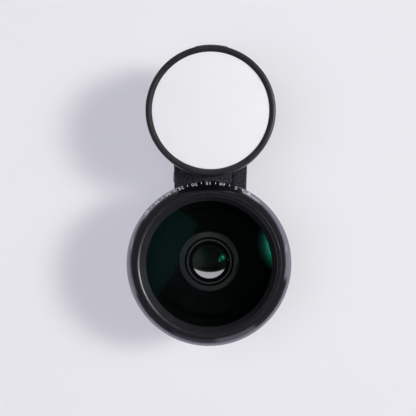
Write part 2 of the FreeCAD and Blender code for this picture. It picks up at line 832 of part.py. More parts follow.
def make_board_screws():
    screws = []
    for angle in post_angles:
        x, y = on_ring(post_ring, angle)
        screws.append(slotted_screw(x, y, board_screw_radius, board_screw_length, board_screw_head_radius,
                                    board_screw_head_thick, board_top, 1))
    return Part.makeCompound(screws)


def make_housing_screws():
    screws = []
    head_z = platform_low + housing_screw_sink
    for angle in housing_screw_angles:
        x, y = on_ring(housing_screw_ring, angle)
        screws.append(slotted_screw(x, y, housing_screw_radius, housing_screw_length,
                                    housing_screw_head_radius, housing_screw_head_thick, head_z, -1))
    return Part.makeCompound(screws)


def make_battery():
    half_x, half_y = battery_length / 2, battery_width / 2
    cell = block(-half_x, half_x, lamp_axis_y - half_y, lamp_axis_y + half_y, battery_low, battery_top)
    upright_edges = [e for e in cell.Edges if e.BoundBox.ZLength > battery_thick / 2]
    return cell.makeFillet(battery_round, upright_edges)


def make_battery_tape():
    half_x, half_y = battery_length / 2 - tape_inset, battery_width / 2 - tape_inset
    return block(-half_x, half_x, lamp_axis_y - half_y, lamp_axis_y + half_y, lamp_floor_z, battery_low)


def make_battery_leads():
    """Two short wires from the cell's end, out and up to the board."""
    start_y = lamp_axis_y - battery_width / 2
    run_z = (battery_low + battery_top) / 2
    far_y = start_y - lead_run
    knee = lead_bend * (1 - math.sqrt(0.5))
    leads = []
    for sign in (-1, 1):
        x = sign * lead_spread / 2
        out = Part.LineSegment(V(x, start_y, run_z), V(x, far_y + lead_bend, run_z)).toShape()
        bend = Part.Arc(V(x, far_y + lead_bend, run_z), V(x, far_y + knee, run_z + knee),
                        V(x, far_y, run_z + lead_bend)).toShape()
        up = Part.LineSegment(V(x, far_y, run_z + lead_bend), V(x, far_y, board_low)).toShape()
        ring = Part.Wire(Part.Circle(V(x, start_y, run_z), V(0, 1, 0), lead_radius).toShape())
        leads.append(Part.Wire([out, bend, up]).makePipeShell([ring], True, False))
    return Part.makeCompound(leads)


def make_usb_socket():
    mouth_x = -lamp_radius + socket_set_back
    half = socket_width / 2
    low = board_low - socket_height
    shell = block(mouth_x, mouth_x + socket_depth, lamp_axis_y - half, lamp_axis_y + half, low, board_low)
    rounds = [e for e in shell.Edges if e.BoundBox.XLength > socket_depth / 2]
    shell = shell.makeFillet(socket_round, rounds)
    cavity = block(mouth_x - over, mouth_x + socket_cavity_depth, lamp_axis_y - half + socket_wall,
                   lamp_axis_y + half - socket_wall, low + socket_wall, board_low - socket_wall)
    middle = (low + board_low) / 2
    tongue_end = mouth_x + (socket_cavity_depth + socket_depth) / 2
    tongue = block(mouth_x + socket_tongue_set_back, tongue_end, lamp_axis_y - socket_tongue_width / 2,
                   lamp_axis_y + socket_tongue_width / 2, middle - socket_tongue_thick / 2,
                   middle + socket_tongue_thick / 2)
    return shell.cut(cavity).fuse(tongue).removeSplitter()


def make_power_key():
    outer = lamp_radius + key_stand_out
    low, high = key_z - key_height / 2, key_z + key_height / 2
    half = key_width / 2
    body = block(-half, half, flange_back, lamp_axis_y + outer + over, low, high)
    body = body.common(upright(outer, low, high, 0, lamp_axis_y))
    shell_y = lamp_axis_y + math.sqrt(lamp_radius ** 2 - half ** 2)
    face_edges = [e for e in body.Edges if e.BoundBox.YMin > shell_y and e.BoundBox.YMax > shell_y + over / 2]
    body = body.makeFillet(key_edge_round, face_edges)
    flange = block(-key_flange_half, key_flange_half, flange_back, flange_front, low, high)
    return body.fuse(flange).removeSplitter()


def make_tact_switch():
    half = switch_width / 2
    body = block(-half, half, switch_front - switch_depth, switch_front, board_low - switch_height, board_low)
    well = Part.makeCylinder(plunger_radius + plunger_fit, plunger_reach + key_travel + plunger_room,
                             V(0, switch_front, key_z), V(0, -1, 0))
    return body.cut(well)


def make_switch_plunger():
    return Part.makeCylinder(plunger_radius, flange_back - switch_front + plunger_reach,
                             V(0, flange_back, key_z), V(0, -1, 0))


pieces = {
    "rear_arm": make_rear_arm,
    "front_arm": make_front_arm,
    "rear_jaw_pad": make_rear_jaw_pad,
    "front_jaw_pad": make_front_jaw_pad,
    "hinge_pin": make_hinge_pin,
    "torsion_spring": make_torsion_spring,
    "clip_bush": make_clip_bush,
    "macro_barrel": make_macro_barrel,
    "macro_element": make_macro_element,
    "macro_retaining_ring": make_macro_retaining_ring,
    "wide_barrel": make_wide_barrel,
    "front_element": make_front_element,
    "front_retaining_ring": make_front_retaining_ring,
    "lamp_housing": make_lamp_housing,
    "lamp_bezel": make_lamp_bezel,
    "diffuser": make_diffuser,
    "led_board": make_led_board,
    "leds": make_leds,
    "board_parts": make_board_parts,
    "board_screws": make_board_screws,
    "housing_screws": make_housing_screws,
    "battery": make_battery,
    "battery_tape": make_battery_tape,
    "battery_leads": make_battery_leads,
    "usb_socket": make_usb_socket,
    "tact_switch": make_tact_switch,
    "switch_plunger": make_switch_plunger,
    "power_key": make_power_key,
}

os.makedirs("parts", exist_ok=True)
for name, make in pieces.items():
    shape = make()
    box = shape.BoundBox
    print("%-22s solids %2d valid %s volume %9.3f  x %.2f %.2f y %.2f %.2f z %.2f %.2f" % (
        name, len(shape.Solids), shape.isValid(), shape.Volume,
        box.XMin, box.XMax, box.YMin, box.YMax, box.ZMin, box.ZMax))
    shape.exportStep("parts/%s.step" % name)
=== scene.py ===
import bpy
import bmesh
import json
import math
from mathutils import Matrix, Vector


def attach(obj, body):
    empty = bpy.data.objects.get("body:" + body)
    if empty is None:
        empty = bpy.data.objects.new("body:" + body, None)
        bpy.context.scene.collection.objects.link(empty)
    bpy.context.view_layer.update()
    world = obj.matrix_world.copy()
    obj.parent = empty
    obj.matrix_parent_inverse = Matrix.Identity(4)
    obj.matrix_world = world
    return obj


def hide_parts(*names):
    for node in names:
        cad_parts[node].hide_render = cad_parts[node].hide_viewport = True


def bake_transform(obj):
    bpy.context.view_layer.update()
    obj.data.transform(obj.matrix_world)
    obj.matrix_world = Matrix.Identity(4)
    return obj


# Clip-on phone lens with a round fill lamp, lying on white paper and seen from straight above.
# The frame is the CAD's: +Z out of the front glass, +Y from the lens to the lamp.
# Sizes are in millimetres, but for the lamps round the object, which are in metres.

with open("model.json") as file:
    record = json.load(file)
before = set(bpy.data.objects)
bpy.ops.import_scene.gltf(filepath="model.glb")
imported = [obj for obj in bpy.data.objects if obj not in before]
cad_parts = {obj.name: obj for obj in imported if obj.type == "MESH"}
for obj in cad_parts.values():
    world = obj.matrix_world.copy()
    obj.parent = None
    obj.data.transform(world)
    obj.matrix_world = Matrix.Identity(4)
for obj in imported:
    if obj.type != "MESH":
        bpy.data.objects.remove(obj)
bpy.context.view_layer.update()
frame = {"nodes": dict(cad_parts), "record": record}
nodes = frame["nodes"]
record = frame["record"]
scene = bpy.context.scene
mm = 0.001
bodyOf = {node: body for body, members in record["behaviour"]["bodies"].items() for node in members}
print("frame loaded:", len(nodes), "pieces")


def newObject(name, data):
    made = bpy.data.objects.new(name, data)
    scene.collection.objects.link(made)
    return made


def linear(hexColour):  # sRGB hex to the linear value that a shader wants
    parts = [int(hexColour[i:i + 2], 16) / 255 for i in (1, 3, 5)]
    return [p / 12.92 if p <= 0.04045 else ((p + 0.055) / 1.055) ** 2.4 for p in parts] + [1.0]


def addNode(tree, kind, settings={}, links={}):  # a link comes from a socket, or from a node's first output
    node = tree.nodes.new(kind)
    for key, value in settings.items():
        if isinstance(key, int) or key in node.inputs:
            node.inputs[key].default_value = value
        else:
            setattr(node, key, value)
    for key, source in links.items():
        tree.links.new(getattr(source, "outputs", [source])[0], node.inputs[key])
    return node


# Camera and light

camera = {
    "place": (2.41, 16.88, 294.0),  # 260 mm above the lens's lip
    "roll": 0.67,
    "lens": 75.0,
    "shift": (-9.55 / 416, 0.25 / 416),  # the axis meets the picture 9.55 pixels right of its middle
}

photoCamera = newObject("photoCamera", bpy.data.cameras.new("photoCamera"))
photoCamera.location = Vector(camera["place"]) * mm
photoCamera.rotation_euler = (0, 0, math.radians(camera["roll"]))
photoCamera.data.lens = camera["lens"]
photoCamera.data.sensor_width = 36
photoCamera.data.shift_x = camera["shift"][0]
photoCamera.data.shift_y = camera["shift"][1]
photoCamera.data.clip_start = 0.01
scene.camera = photoCamera
scene.view_settings.view_transform = "Standard"

lampsAim = Vector((0, 0.02, 0.02))  # between lens and lamp, at half the object's height


def softLight(name, look):  # a round lamp, seen only by the rays that it is for
    lamp = bpy.data.lights.new(name, "AREA")
    lamp.shape = "DISK"
    lamp.size = look["size"]
    lamp.energy = look["radiance"] * math.pi * (math.pi / 4 * look["size"] ** 2)
    lamp.color = linear(look["colour"])[:3]
    holder = newObject(name, lamp)
    holder.location = Vector(look["place"])
    holder.rotation_euler = (lampsAim - holder.location).to_track_quat("-Z", "Y").to_euler()
    holder.visible_camera = False
    holder.visible_diffuse = "lights" in look["for"]
    holder.visible_glossy = "mirror" in look["for"]
    holder.visible_transmission = "inner glass" in look["for"]
    if "falloff" in look:  # a soft hot spot, as a lamp makes in its diffuser
        lamp.use_nodes = True
        tree = lamp.node_tree
        tree.nodes.clear()
        spread = addNode(tree, "ShaderNodeNewGeometry").outputs["Parametric"]
        centred = addNode(tree, "ShaderNodeVectorMath", {
            "operation": "MULTIPLY_ADD", 1: (2, 2, 0), 2: (-1, -1, 0)}, {0: spread})
        square = addNode(tree, "ShaderNodeVectorMath", {"operation": "DOT_PRODUCT"}, {0: centred, 1: centred})
        power = addNode(tree, "ShaderNodeMath", {"operation": "MULTIPLY", 1: -look["falloff"]},
                        {0: square.outputs["Value"]})
        bell = addNode(tree, "ShaderNodeMath", {"operation": "EXPONENT"}, {0: power})
        glow = addNode(tree, "ShaderNodeEmission", {}, {"Strength": bell})
        addNode(tree, "ShaderNodeOutputLight", {}, {0: glow})


def around(azimuth, elevation, distance):  # degrees from +X, degrees up
    a, e = math.radians(azimuth), math.radians(elevation)
    return distance * math.cos(e) * math.cos(a), distance * math.cos(e) * math.sin(a), distance * math.sin(e)


softLight("keySoftbox", {
    "size": 0.93, "radiance": 68.0, "colour": "#fffcf6", "falloff": 7.37, "place": around(10.6, 49.1, 1.6),
    "for": ("lights", "mirror")})
# the key as the small rear glass mirrors it through the front one, and a dimmer lamp beside it
softLight("keyGlint", {
    "size": 0.50, "radiance": 5.8, "colour": "#f4fff8", "falloff": 3.4, "place": around(13.1, 50.6, 1.6),
    "for": ("inner glass",)})
softLight("sideGlint", {
    "size": 0.30, "radiance": 7.5, "colour": "#c8ff9c", "falloff": 3.0, "place": around(2.2, 60.8, 1.6),
    "for": ("inner glass",)})
softLight("overhead", {
    "size": 0.90, "radiance": 2.4, "colour": "#f4f5ff", "place": (-0.27, 0.02, 1.0), "for": ("lights",)})

# What glass and metal mirror: a pale tent with a dark ceiling and bright low walls.
# Each wall is its azimuth, half its width and its top edge in degrees, and its brightness. The edges are soft.
room = {
    "walls": (
        (60, 9, 3.5, 1.8), (30, 22, 3, 0.85), (-2, 11, 4, 0.8), (78, 9, 3.7, 0.8), (92, 10, 11, 0.55),
        (104, 12, 3.5, 1.0), (138, 10, 2, 1.0), (122, 7, 3, 0.35), (160, 13, 0.8, 0.6), (-174, 20, 0.5, 0.6),
        (-70, 14, 4, 0.28), (-100, 15, 2, 0.08)),
    "sides": 0.055,
    "ceiling": 0.01,
    "ceilingFrom": (50.0, 56.0),
    # a grey sheet overhead on the left, with three straight edges a x + b y = c in a plane one unit up
    "panel": {"edges": ((0.854, 1.0, 0.209), (1.0, -0.485, -0.250), (1.35, -1.0, -0.293)),
              "from": (48.0, 52.0), "bright": 0.118},
    "colour": "#f8f8fd",
    "background": "#e9e9ee",
}


def roomLight():
    studio = bpy.data.worlds.new("studio")
    scene.world = studio
    studio.use_nodes = True
    studio.cycles_visibility.diffuse = False  # the lamps alone light matt surfaces
    tree = studio.node_tree
    tree.nodes.clear()
    way = addNode(tree, "ShaderNodeTexCoord").outputs["Generated"]
    height = addNode(tree, "ShaderNodeSeparateXYZ", {}, {0: way}).outputs["Z"]
    rise = addNode(tree, "ShaderNodeMath", {"operation": "ARCSINE"}, {0: height})
    level = addNode(tree, "ShaderNodeVectorMath", {"operation": "MULTIPLY", 1: (1, 1, 0)}, {0: way})
    level = addNode(tree, "ShaderNodeVectorMath", {"operation": "NORMALIZE"}, {0: level})

    def between(low, high, start, end):  # settings of a soft step between two angles in degrees
        return {"From Min": math.radians(low), "From Max": math.radians(high), "To Min": start, "To Max": end}

    light = addNode(tree, "ShaderNodeMapRange", between(*room["ceilingFrom"], room["sides"], room["ceiling"]),
                    {0: rise})
    for azimuth, half, top, bright in room["walls"]:
        ahead = around(azimuth, 0, 1)
        off = addNode(tree, "ShaderNodeVectorMath", {"operation": "DOT_PRODUCT", 1: ahead}, {0: level})
        off = addNode(tree, "ShaderNodeMath", {"operation": "ARCCOSINE"}, {0: off.outputs["Value"]})
        wide = addNode(tree, "ShaderNodeMapRange", between(half - 2, half + 3, bright, 0), {0: off})
        tall = addNode(tree, "ShaderNodeMapRange", between(top - 1, top + 1, 1, 0), {0: rise})
        light = addNode(tree, "ShaderNodeMath", {"operation": "MULTIPLY_ADD"}, {0: wide, 1: tall, 2: light})
    panel = room["panel"]
    share = addNode(tree, "ShaderNodeMapRange", between(*panel["from"], 0, panel["bright"]), {0: rise})
    above = addNode(tree, "ShaderNodeMath", {"operation": "MAXIMUM", 1: 0.05}, {0: height})
    for a, b, c in panel["edges"]:
        across = addNode(tree, "ShaderNodeVectorMath", {"operation": "DOT_PRODUCT", 1: (a, b, 0)}, {0: way})
        across = addNode(tree, "ShaderNodeMath", {"operation": "DIVIDE"}, {
            0: across.outputs["Value"], 1: above})
        inside = addNode(tree, "ShaderNodeMapRange", {
            "From Min": c - 0.02, "From Max": c, "To Min": 1, "To Max": 0}, {0: across})
        share = addNode(tree, "ShaderNodeMath", {"operation": "MULTIPLY"}, {0: share, 1: inside})
    light = addNode(tree, "ShaderNodeMath", {"operation": "ADD"}, {0: light, 1: share})
    walls = addNode(tree, "ShaderNodeBackground", {"Color": linear(room["colour"])}, {"Strength": light})
    paper = addNode(tree, "ShaderNodeBackground", {"Color": linear(room["background"])})
    seen = addNode(tree, "ShaderNodeLightPath").outputs["Is Camera Ray"]
    mixed = addNode(tree, "ShaderNodeMixShader", {}, {0: seen, 1: walls, 2: paper})
    addNode(tree, "ShaderNodeOutputWorld", {}, {0: mixed})


roomLight()


# Finishes. Colours are the hex values a paint card would give.

def newFinish(name):
    material = bpy.data.materials.new(name)
    material.use_nodes = True
    material.node_tree.nodes.clear()
    where = addNode(material.node_tree, "ShaderNodeTexCoord").outputs["Object"]
    return material, material.node_tree, where


def tones(look):  # settings of a mix from a finish's dark colour to its light one
    return {"data_type": "RGBA", 6: linear(look["dark"]), 7: linear(look["light"])}


def grainy(name, look):
    # A finish with a mottled colour, uneven gloss and a fine grain. Turned pieces also get tool rings.
    material, tree, where = newFinish(name)
    if "stretch" in look:
        where = addNode(tree, "ShaderNodeMapping", {"Scale": look["stretch"]}, {0: where})
    mottle = addNode(tree, "ShaderNodeTexNoise", {
        "Scale": 1 / (look["mottle"] * mm), "Detail": 4.0, "Roughness": 0.55}, {"Vector": where})
    shade = addNode(tree, "ShaderNodeMapRange", {"From Min": 0.3, "From Max": 0.7}, {0: mottle})
    tone = addNode(tree, "ShaderNodeMix", tones(look), {0: shade}).outputs[2]
    gloss = addNode(tree, "ShaderNodeMapRange", {
        "From Min": 0.3, "From Max": 0.7, "To Min": look["rough"][0], "To Max": look["rough"][1]}, {0: mottle})
    grain = addNode(tree, "ShaderNodeTexNoise", {
        "Scale": 1 / (look["grain"] * mm), "Detail": 2.0}, {"Vector": where})
    bump = addNode(tree, "ShaderNodeBump", {
        "Strength": look.get("grainStrength", 0.5), "Distance": look["depth"] * mm}, {"Height": grain})
    if "ringPitch" in look:
        # the wave's rings are 2 pi / 20 of a unit apart at scale 1
        rings = addNode(tree, "ShaderNodeTexWave", {
            "wave_type": "RINGS", "rings_direction": "Z", "Scale": math.pi / 10 / (look["ringPitch"] * mm)},
            {"Vector": where})
        bump = addNode(tree, "ShaderNodeBump", {"Strength": 0.6, "Distance": look["ringDepth"] * mm},
                       {"Height": rings.outputs["Fac"], "Normal": bump})
    shader = addNode(tree, "ShaderNodeBsdfPrincipled", {
        "Metallic": look.get("metallic", 0.0), "IOR": look.get("ior", 1.5),
        "Specular IOR Level": look.get("specular", 0.5), "Specular Tint": look.get("tint", (1, 1, 1, 1)),
        "Coat Weight": look.get("coat", 0.0), "Coat Roughness": 0.15},
        {"Base Color": tone, "Roughness": gloss, "Normal": bump})
    addNode(tree, "ShaderNodeOutputMaterial", {}, {0: shader})
    return material


# anodised aluminium, dyed deep black: the sealed oxide mirrors the horizon as a clear bright band
blackAnodised = grainy("blackAnodisedAluminium", {
    "dark": "#0a0a0d", "light": "#0f0f13", "mottle": 0.8, "rough": (0.06, 0.10), "grain": 0.16, "depth": 0.001,
    "grainStrength": 0.2, "ior": 2.2, "specular": 1.0, "tint": (0.87, 0.86, 1.0, 1.0)})

# the same dye inside the crest and on the knurls, where a finer cut leaves it satin and dull
satinAnodised = grainy("satinBlackAluminium", {
    "dark": "#141417", "light": "#1c1c21", "mottle": 0.9, "rough": (0.32, 0.40), "grain": 0.2, "depth": 0.002,
    "specular": 0.75, "tint": (0.89, 0.88, 1.0, 1.0)})

# the same dye on a surface left from the lathe: fine rings that catch the light as arcs
turnedAnodised = grainy("turnedBlackAluminium", {
    "dark": "#1e1e22", "light": "#28282d", "mottle": 1.2, "rough": (0.46, 0.56), "grain": 0.3, "depth": 0.004,
    "ringPitch": 0.42, "ringDepth": 0.004, "specular": 0.2})  # real marks are 0.05 mm apart, too fine to show

# matt optical black on the inner walls: swallows nearly everything
borePaint = grainy("mattBorePaint", {
    "dark": "#040405", "light": "#08080b", "mottle": 1.2, "rough": (0.85, 0.95), "grain": 0.2, "depth": 0.002,
    "specular": 0.01})

# dark grey hard anodise on the macro part's end faces, seen as the pale rings in the glass
greyAnodised = grainy("greyHardAnodised", {
    "dark": "#101316", "light": "#171a1e", "mottle": 1.4, "rough": (0.40, 0.52), "grain": 0.25, "depth": 0.004,
    "ringPitch": 0.4, "ringDepth": 0.006, "specular": 0.33})

# moulded ABS, satin tool: even black with a soft broad highlight
satinAbs = grainy("satinBlackAbs", {
    "dark": "#1f1f24", "light": "#26262c", "mottle": 3.0, "rough": (0.36, 0.46), "grain": 0.35, "depth": 0.006,
    "ior": 1.54})

# silicone rubber: matt, a little dusty
siliconeRubber = grainy("blackSiliconeRubber", {
    "dark": "#141416", "light": "#202022", "mottle": 0.9, "rough": (0.7, 0.85), "grain": 0.22, "depth": 0.01,
    "ior": 1.41})

# bright zinc on small screws: pale metal with cloudy gloss
zincPlate = grainy("brightZincPlate", {
    "dark": "#a9abad", "light": "#c6c8ca", "mottle": 0.5, "rough": (0.2, 0.32), "grain": 0.12, "depth": 0.003,
    "metallic": 1.0})

# drawn steel pin: long fine scratches along the pin
drawnSteel = grainy("drawnSteel", {
    "dark": "#9a9a9c", "light": "#b4b4b7", "mottle": 0.8, "rough": (0.22, 0.36), "grain": 0.3, "depth": 0.004,
    "metallic": 1.0, "stretch": (0.08, 1.0, 1.0)})

# nickel-plated music wire: bright, slightly warm
springWire = grainy("nickelSpringWire", {
    "dark": "#a8a59e", "light": "#c2c0ba", "mottle": 0.6, "rough": (0.14, 0.24), "grain": 0.2, "depth": 0.003,
    "metallic": 1.0})

# stamped and tinned steel of the socket: pale and slightly cloudy
tinnedSteel = grainy("tinnedSteel", {
    "dark": "#a5a7a8", "light": "#bfc1c2", "mottle": 0.7, "rough": (0.25, 0.38), "grain": 0.2, "depth": 0.003,
    "metallic": 1.0})

# laminate pouch of the cell: thin foil with shallow dents
cellFoil = grainy("silverPouchFoil", {
    "dark": "#b9bbbd", "light": "#d2d4d6", "mottle": 4.0, "rough": (0.25, 0.4), "grain": 2.5, "depth": 0.12,
    "metallic": 0.85, "grainStrength": 0.8})

# white closed-cell foam tape: matt and finely pitted
foamTape = grainy("whiteFoamTape", {
    "dark": "#d6d5d1", "light": "#eceae6", "mottle": 0.5, "rough": (0.8, 0.95), "grain": 0.25, "depth": 0.03})

# moulded epoxy of chips and of the switch's body: charcoal and matt
chipEpoxy = grainy("mouldedEpoxy", {
    "dark": "#161617", "light": "#222223", "mottle": 0.4, "rough": (0.5, 0.65), "grain": 0.12, "depth": 0.006})

# nylon of the switch's plunger: dark with a waxy sheen
nylon = grainy("naturalBlackNylon", {
    "dark": "#242425", "light": "#2e2e30", "mottle": 0.4, "rough": (0.4, 0.5), "grain": 0.1, "depth": 0.004,
    "ior": 1.53})

# white solder mask: glossy, slightly wavy
solderMask = grainy("whiteSolderMask", {
    "dark": "#d9d8d4", "light": "#e8e7e3", "mottle": 2.0, "rough": (0.2, 0.3), "grain": 0.8, "depth": 0.01,
    "coat": 0.3})

# yellow phosphor gel in the LED's window: opaque, with a wet shine
phosphor = grainy("yellowPhosphor", {
    "dark": "#d9a520", "light": "#edc345", "mottle": 0.3, "rough": (0.25, 0.35), "grain": 0.15, "depth": 0.01})

# white pad-printed ink: matt and nearly even
padPrintInk = grainy("whitePadPrintInk", {
    "dark": "#e2e2e6", "light": "#f4f4f8", "mottle": 0.35, "rough": (0.5, 0.6), "grain": 0.15, "depth": 0.004})


def sparkAbs():
    # ABS from a spark-eroded tool: its grain is bumped, and its glitter is painted into the colour as light
    # specks, full on the panel between the rails and fainter on the rails, which stay smooth
    look = {"dark": "#131317", "light": "#4f4f5b", "grain": 0.55, "panelHalf": 7.3, "panelFrom": 16.0}
    material, tree, where = newFinish("sparkTexturedAbs")
    split = addNode(tree, "ShaderNodeSeparateXYZ", {}, {0: where})
    aside = addNode(tree, "ShaderNodeMath", {"operation": "ABSOLUTE"}, {0: split})
    inside = addNode(tree, "ShaderNodeMapRange", {
        "From Min": look["panelHalf"] * mm, "From Max": (look["panelHalf"] - 0.2) * mm}, {0: aside})
    after = addNode(tree, "ShaderNodeMath", {"operation": "GREATER_THAN", 1: look["panelFrom"] * mm},
                    {0: split.outputs["Y"]})
    panel = addNode(tree, "ShaderNodeMath", {"operation": "MULTIPLY"}, {0: inside, 1: after})
    # the real grain is about 0.1 mm, drawn coarser so that it shows
    coarse = addNode(tree, "ShaderNodeTexNoise", {
        "Scale": 1 / (look["grain"] * mm), "Detail": 3.0, "Roughness": 0.7}, {"Vector": where})
    fine = addNode(tree, "ShaderNodeTexNoise", {"Scale": 1 / (0.25 * look["grain"] * mm), "Detail": 2.0},
                   {"Vector": where})
    # painted highlights: the grain noise's high points become light specks in the colour, standing in for the
    # texture's glitter
    spots = addNode(tree, "ShaderNodeMapRange", {"From Min": 0.42, "From Max": 0.60}, {0: coarse})
    share = addNode(tree, "ShaderNodeMapRange", {"To Min": 0.75, "To Max": 1.0}, {0: panel})
    amount = addNode(tree, "ShaderNodeMath", {"operation": "MULTIPLY"}, {0: spots, 1: share})
    tone = addNode(tree, "ShaderNodeMix", tones(look), {0: amount}).outputs[2]
    strength = addNode(tree, "ShaderNodeMapRange", {"To Min": 0.25, "To Max": 0.9}, {0: panel})
    bump = addNode(tree, "ShaderNodeBump", {"Distance": 0.03 * mm}, {"Height": coarse, "Strength": strength})
    bump = addNode(tree, "ShaderNodeBump", {"Strength": 0.3, "Distance": 0.006 * mm}, {
        "Height": fine, "Normal": bump})
    gloss = addNode(tree, "ShaderNodeMapRange", {"To Min": 0.42, "To Max": 0.58}, {0: panel})
    shader = addNode(tree, "ShaderNodeBsdfPrincipled", {"IOR": 1.54},
                     {"Base Color": tone, "Roughness": gloss, "Normal": bump})
    addNode(tree, "ShaderNodeOutputMaterial", {}, {0: shader})
    return material


def opalAcrylic():
    # opal sheet, matt on both sides: milky, evenly white, a trace of violet
    look = {"dark": "#f2f2f7", "light": "#f5f5fa", "cloud": 9.0, "frost": 0.2, "depth": 0.004}
    material, tree, where = newFinish("opalAcrylic")
    cloud = addNode(tree, "ShaderNodeTexNoise", {
        "Scale": 1 / (look["cloud"] * mm), "Detail": 2.0}, {"Vector": where})
    tone = addNode(tree, "ShaderNodeMix", tones(look), {0: cloud}).outputs[2]
    frost = addNode(tree, "ShaderNodeTexNoise", {
        "Scale": 1 / (look["frost"] * mm), "Detail": 2.0}, {"Vector": where})
    bump = addNode(tree, "ShaderNodeBump", {
        "Strength": 0.3, "Distance": look["depth"] * mm}, {"Height": frost})
    shader = addNode(tree, "ShaderNodeBsdfPrincipled", {
        "IOR": 1.49, "Roughness": 0.5, "Subsurface Weight": 0.15, "Subsurface Scale": 2 * mm,
        "Subsurface Radius": (1.0, 1.0, 1.0)}, {"Base Color": tone, "Normal": bump})
    addNode(tree, "ShaderNodeOutputMaterial", {}, {0: shader})
    return material


def coatedGlass(name, coat):
    # optical glass with a broadband coating: clear inside, and what it still mirrors comes back green
    material, tree, where = newFinish(name)
    body = linear("#fbfefc")
    shader = addNode(tree, "ShaderNodeBsdfPrincipled", {
        "Base Color": body, "Roughness": 0.0, "IOR": 1.52, "Transmission Weight": 1.0, "Specular Tint": coat})
    clear = addNode(tree, "ShaderNodeBsdfTransparent", {"Color": body})
    lampRay = addNode(tree, "ShaderNodeLightPath").outputs["Is Shadow Ray"]
    mixed = addNode(tree, "ShaderNodeMixShader", {}, {0: lampRay, 1: shader, 2: clear})
    addNode(tree, "ShaderNodeOutputMaterial", {}, {0: mixed})
    return material


def leadPlastic():
    # two soft PVC leads, one red and one black: a low even shine
    look = {"dark": "#1d1d1f", "light": "#b3231c", "wave": 0.6, "depth": 0.02}
    material, tree, where = newFinish("leadPvc")
    aside = addNode(tree, "ShaderNodeSeparateXYZ", {}, {0: where})
    right = addNode(tree, "ShaderNodeMath", {"operation": "GREATER_THAN", 1: 0.0}, {0: aside})
    tone = addNode(tree, "ShaderNodeMix", tones(look), {0: right}).outputs[2]
    wave = addNode(tree, "ShaderNodeTexNoise", {"Scale": 1 / (look["wave"] * mm)}, {"Vector": where})
    bump = addNode(tree, "ShaderNodeBump", {"Strength": 0.4, "Distance": look["depth"] * mm}, {"Height": wave})
    shader = addNode(tree, "ShaderNodeBsdfPrincipled", {"Roughness": 0.42, "IOR": 1.53},
                     {"Base Color": tone, "Normal": bump})
    addNode(tree, "ShaderNodeOutputMaterial", {}, {0: shader})
    return material


def litPaper():
    # white acrylic sheet over a light box: takes the shadows softly and glows a little by itself
    look = {"sheet": "#bdbdbd", "glow": "#a09fa8", "haze": 60.0}
    material, tree, where = newFinish("whiteLightTable")
    haze = addNode(tree, "ShaderNodeTexNoise", {
        "Scale": 1 / (look["haze"] * mm), "Detail": 2.0}, {"Vector": where})
    glow = addNode(tree, "ShaderNodeMapRange", {"To Min": 0.985, "To Max": 1.015}, {0: haze})
    lit = addNode(tree, "ShaderNodeBsdfDiffuse", {"Color": linear(look["sheet"])})
    ray = addNode(tree, "ShaderNodeLightPath").outputs
    seen = addNode(tree, "ShaderNodeMath", {"operation": "MAXIMUM"}, {
        0: ray["Is Camera Ray"], 1: ray["Is Glossy Ray"]})
    seen = addNode(tree, "ShaderNodeMath", {"operation": "MAXIMUM"}, {0: seen, 1: ray["Is Transmission Ray"]})
    amount = addNode(tree, "ShaderNodeMath", {"operation": "MULTIPLY"}, {0: seen, 1: glow})
    own = addNode(tree, "ShaderNodeEmission", {"Color": linear(look["glow"])}, {"Strength": amount})
    both = addNode(tree, "ShaderNodeAddShader", {}, {0: lit, 1: own})
    addNode(tree, "ShaderNodeOutputMaterial", {}, {0: both})
    return material


armPlastic = sparkAbs()
opal = opalAcrylic()
frontGlass = coatedGlass("greenCoatedGlass", (0.07, 1.0, 0.66, 1.0))
innerGlass = coatedGlass("tealCoatedGlass", (0.003, 0.025, 0.02, 1.0))
macroGlass = coatedGlass("coatedMacroGlass", (0.06, 1.0, 0.72, 1.0))
clearGlass = coatedGlass("deepCoatedGlass", (0.004, 0.02, 0.015, 1.0))
leadPvc = leadPlastic()
lightTable = litPaper()
print("finishes made:", len(bpy.data.materials))


# Making and placing pieces

def place(mesh, node, finishes):  # puts a finished mesh where its CAD node is, with its name in camelCase
    first, *others = node.split("_")
    name = first + "".join(word.title() for word in others)
    mesh.name = name
    piece = newObject(name, mesh)
    for finish in finishes:
        mesh.materials.append(finish)
    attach(piece, bodyOf[node])
    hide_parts(node)


def plainMesh(holder):  # what an object's modifiers or text make, as a mesh of its own
    mesh = bpy.data.meshes.new_from_object(holder.evaluated_get(bpy.context.evaluated_depsgraph_get()))
    bpy.data.objects.remove(holder)
    return mesh


def roundedPath(corners, step):  # corners are (radius, height) or (radius, height, round), steps in degrees
    points = []
    for i, corner in enumerate(corners):
        here = Vector(corner[:2])
        if len(corner) == 2:
            points.append(here)
            continue
        back = (Vector(corners[i - 1][:2]) - here).normalized()
        ahead = (Vector(corners[(i + 1) % len(corners)][:2]) - here).normalized()
        half = back.angle(ahead) / 2
        centre = here + (back + ahead).normalized() * (corner[2] / math.sin(half))
        first = here + back * (corner[2] / math.tan(half)) - centre
        last = here + ahead * (corner[2] / math.tan(half)) - centre
        sweep = math.atan2(first.x * last.y - first.y * last.x, first.dot(last))
        count = max(3, math.ceil(abs(sweep) / math.radians(step)))
        for k in range(count + 1):
            a = sweep * k / count
            points.append(centre + Vector((first.x * math.cos(a) - first.y * math.sin(a),
                                           first.x * math.sin(a) + first.y * math.cos(a))))
    return points


def smoothed(mesh, sharp):  # closes doubles, points faces outwards, and shades smooth up to an angle
    bm = bmesh.new()
    bm.from_mesh(mesh)
    bmesh.ops.remove_doubles(bm, verts=bm.verts, dist=1e-7)
    bmesh.ops.recalc_face_normals(bm, faces=bm.faces)
    for face in bm.faces:
        face.smooth = True
    bm.to_mesh(mesh)
    bm.free()
    mesh.set_sharp_from_angle(angle=math.radians(sharp))


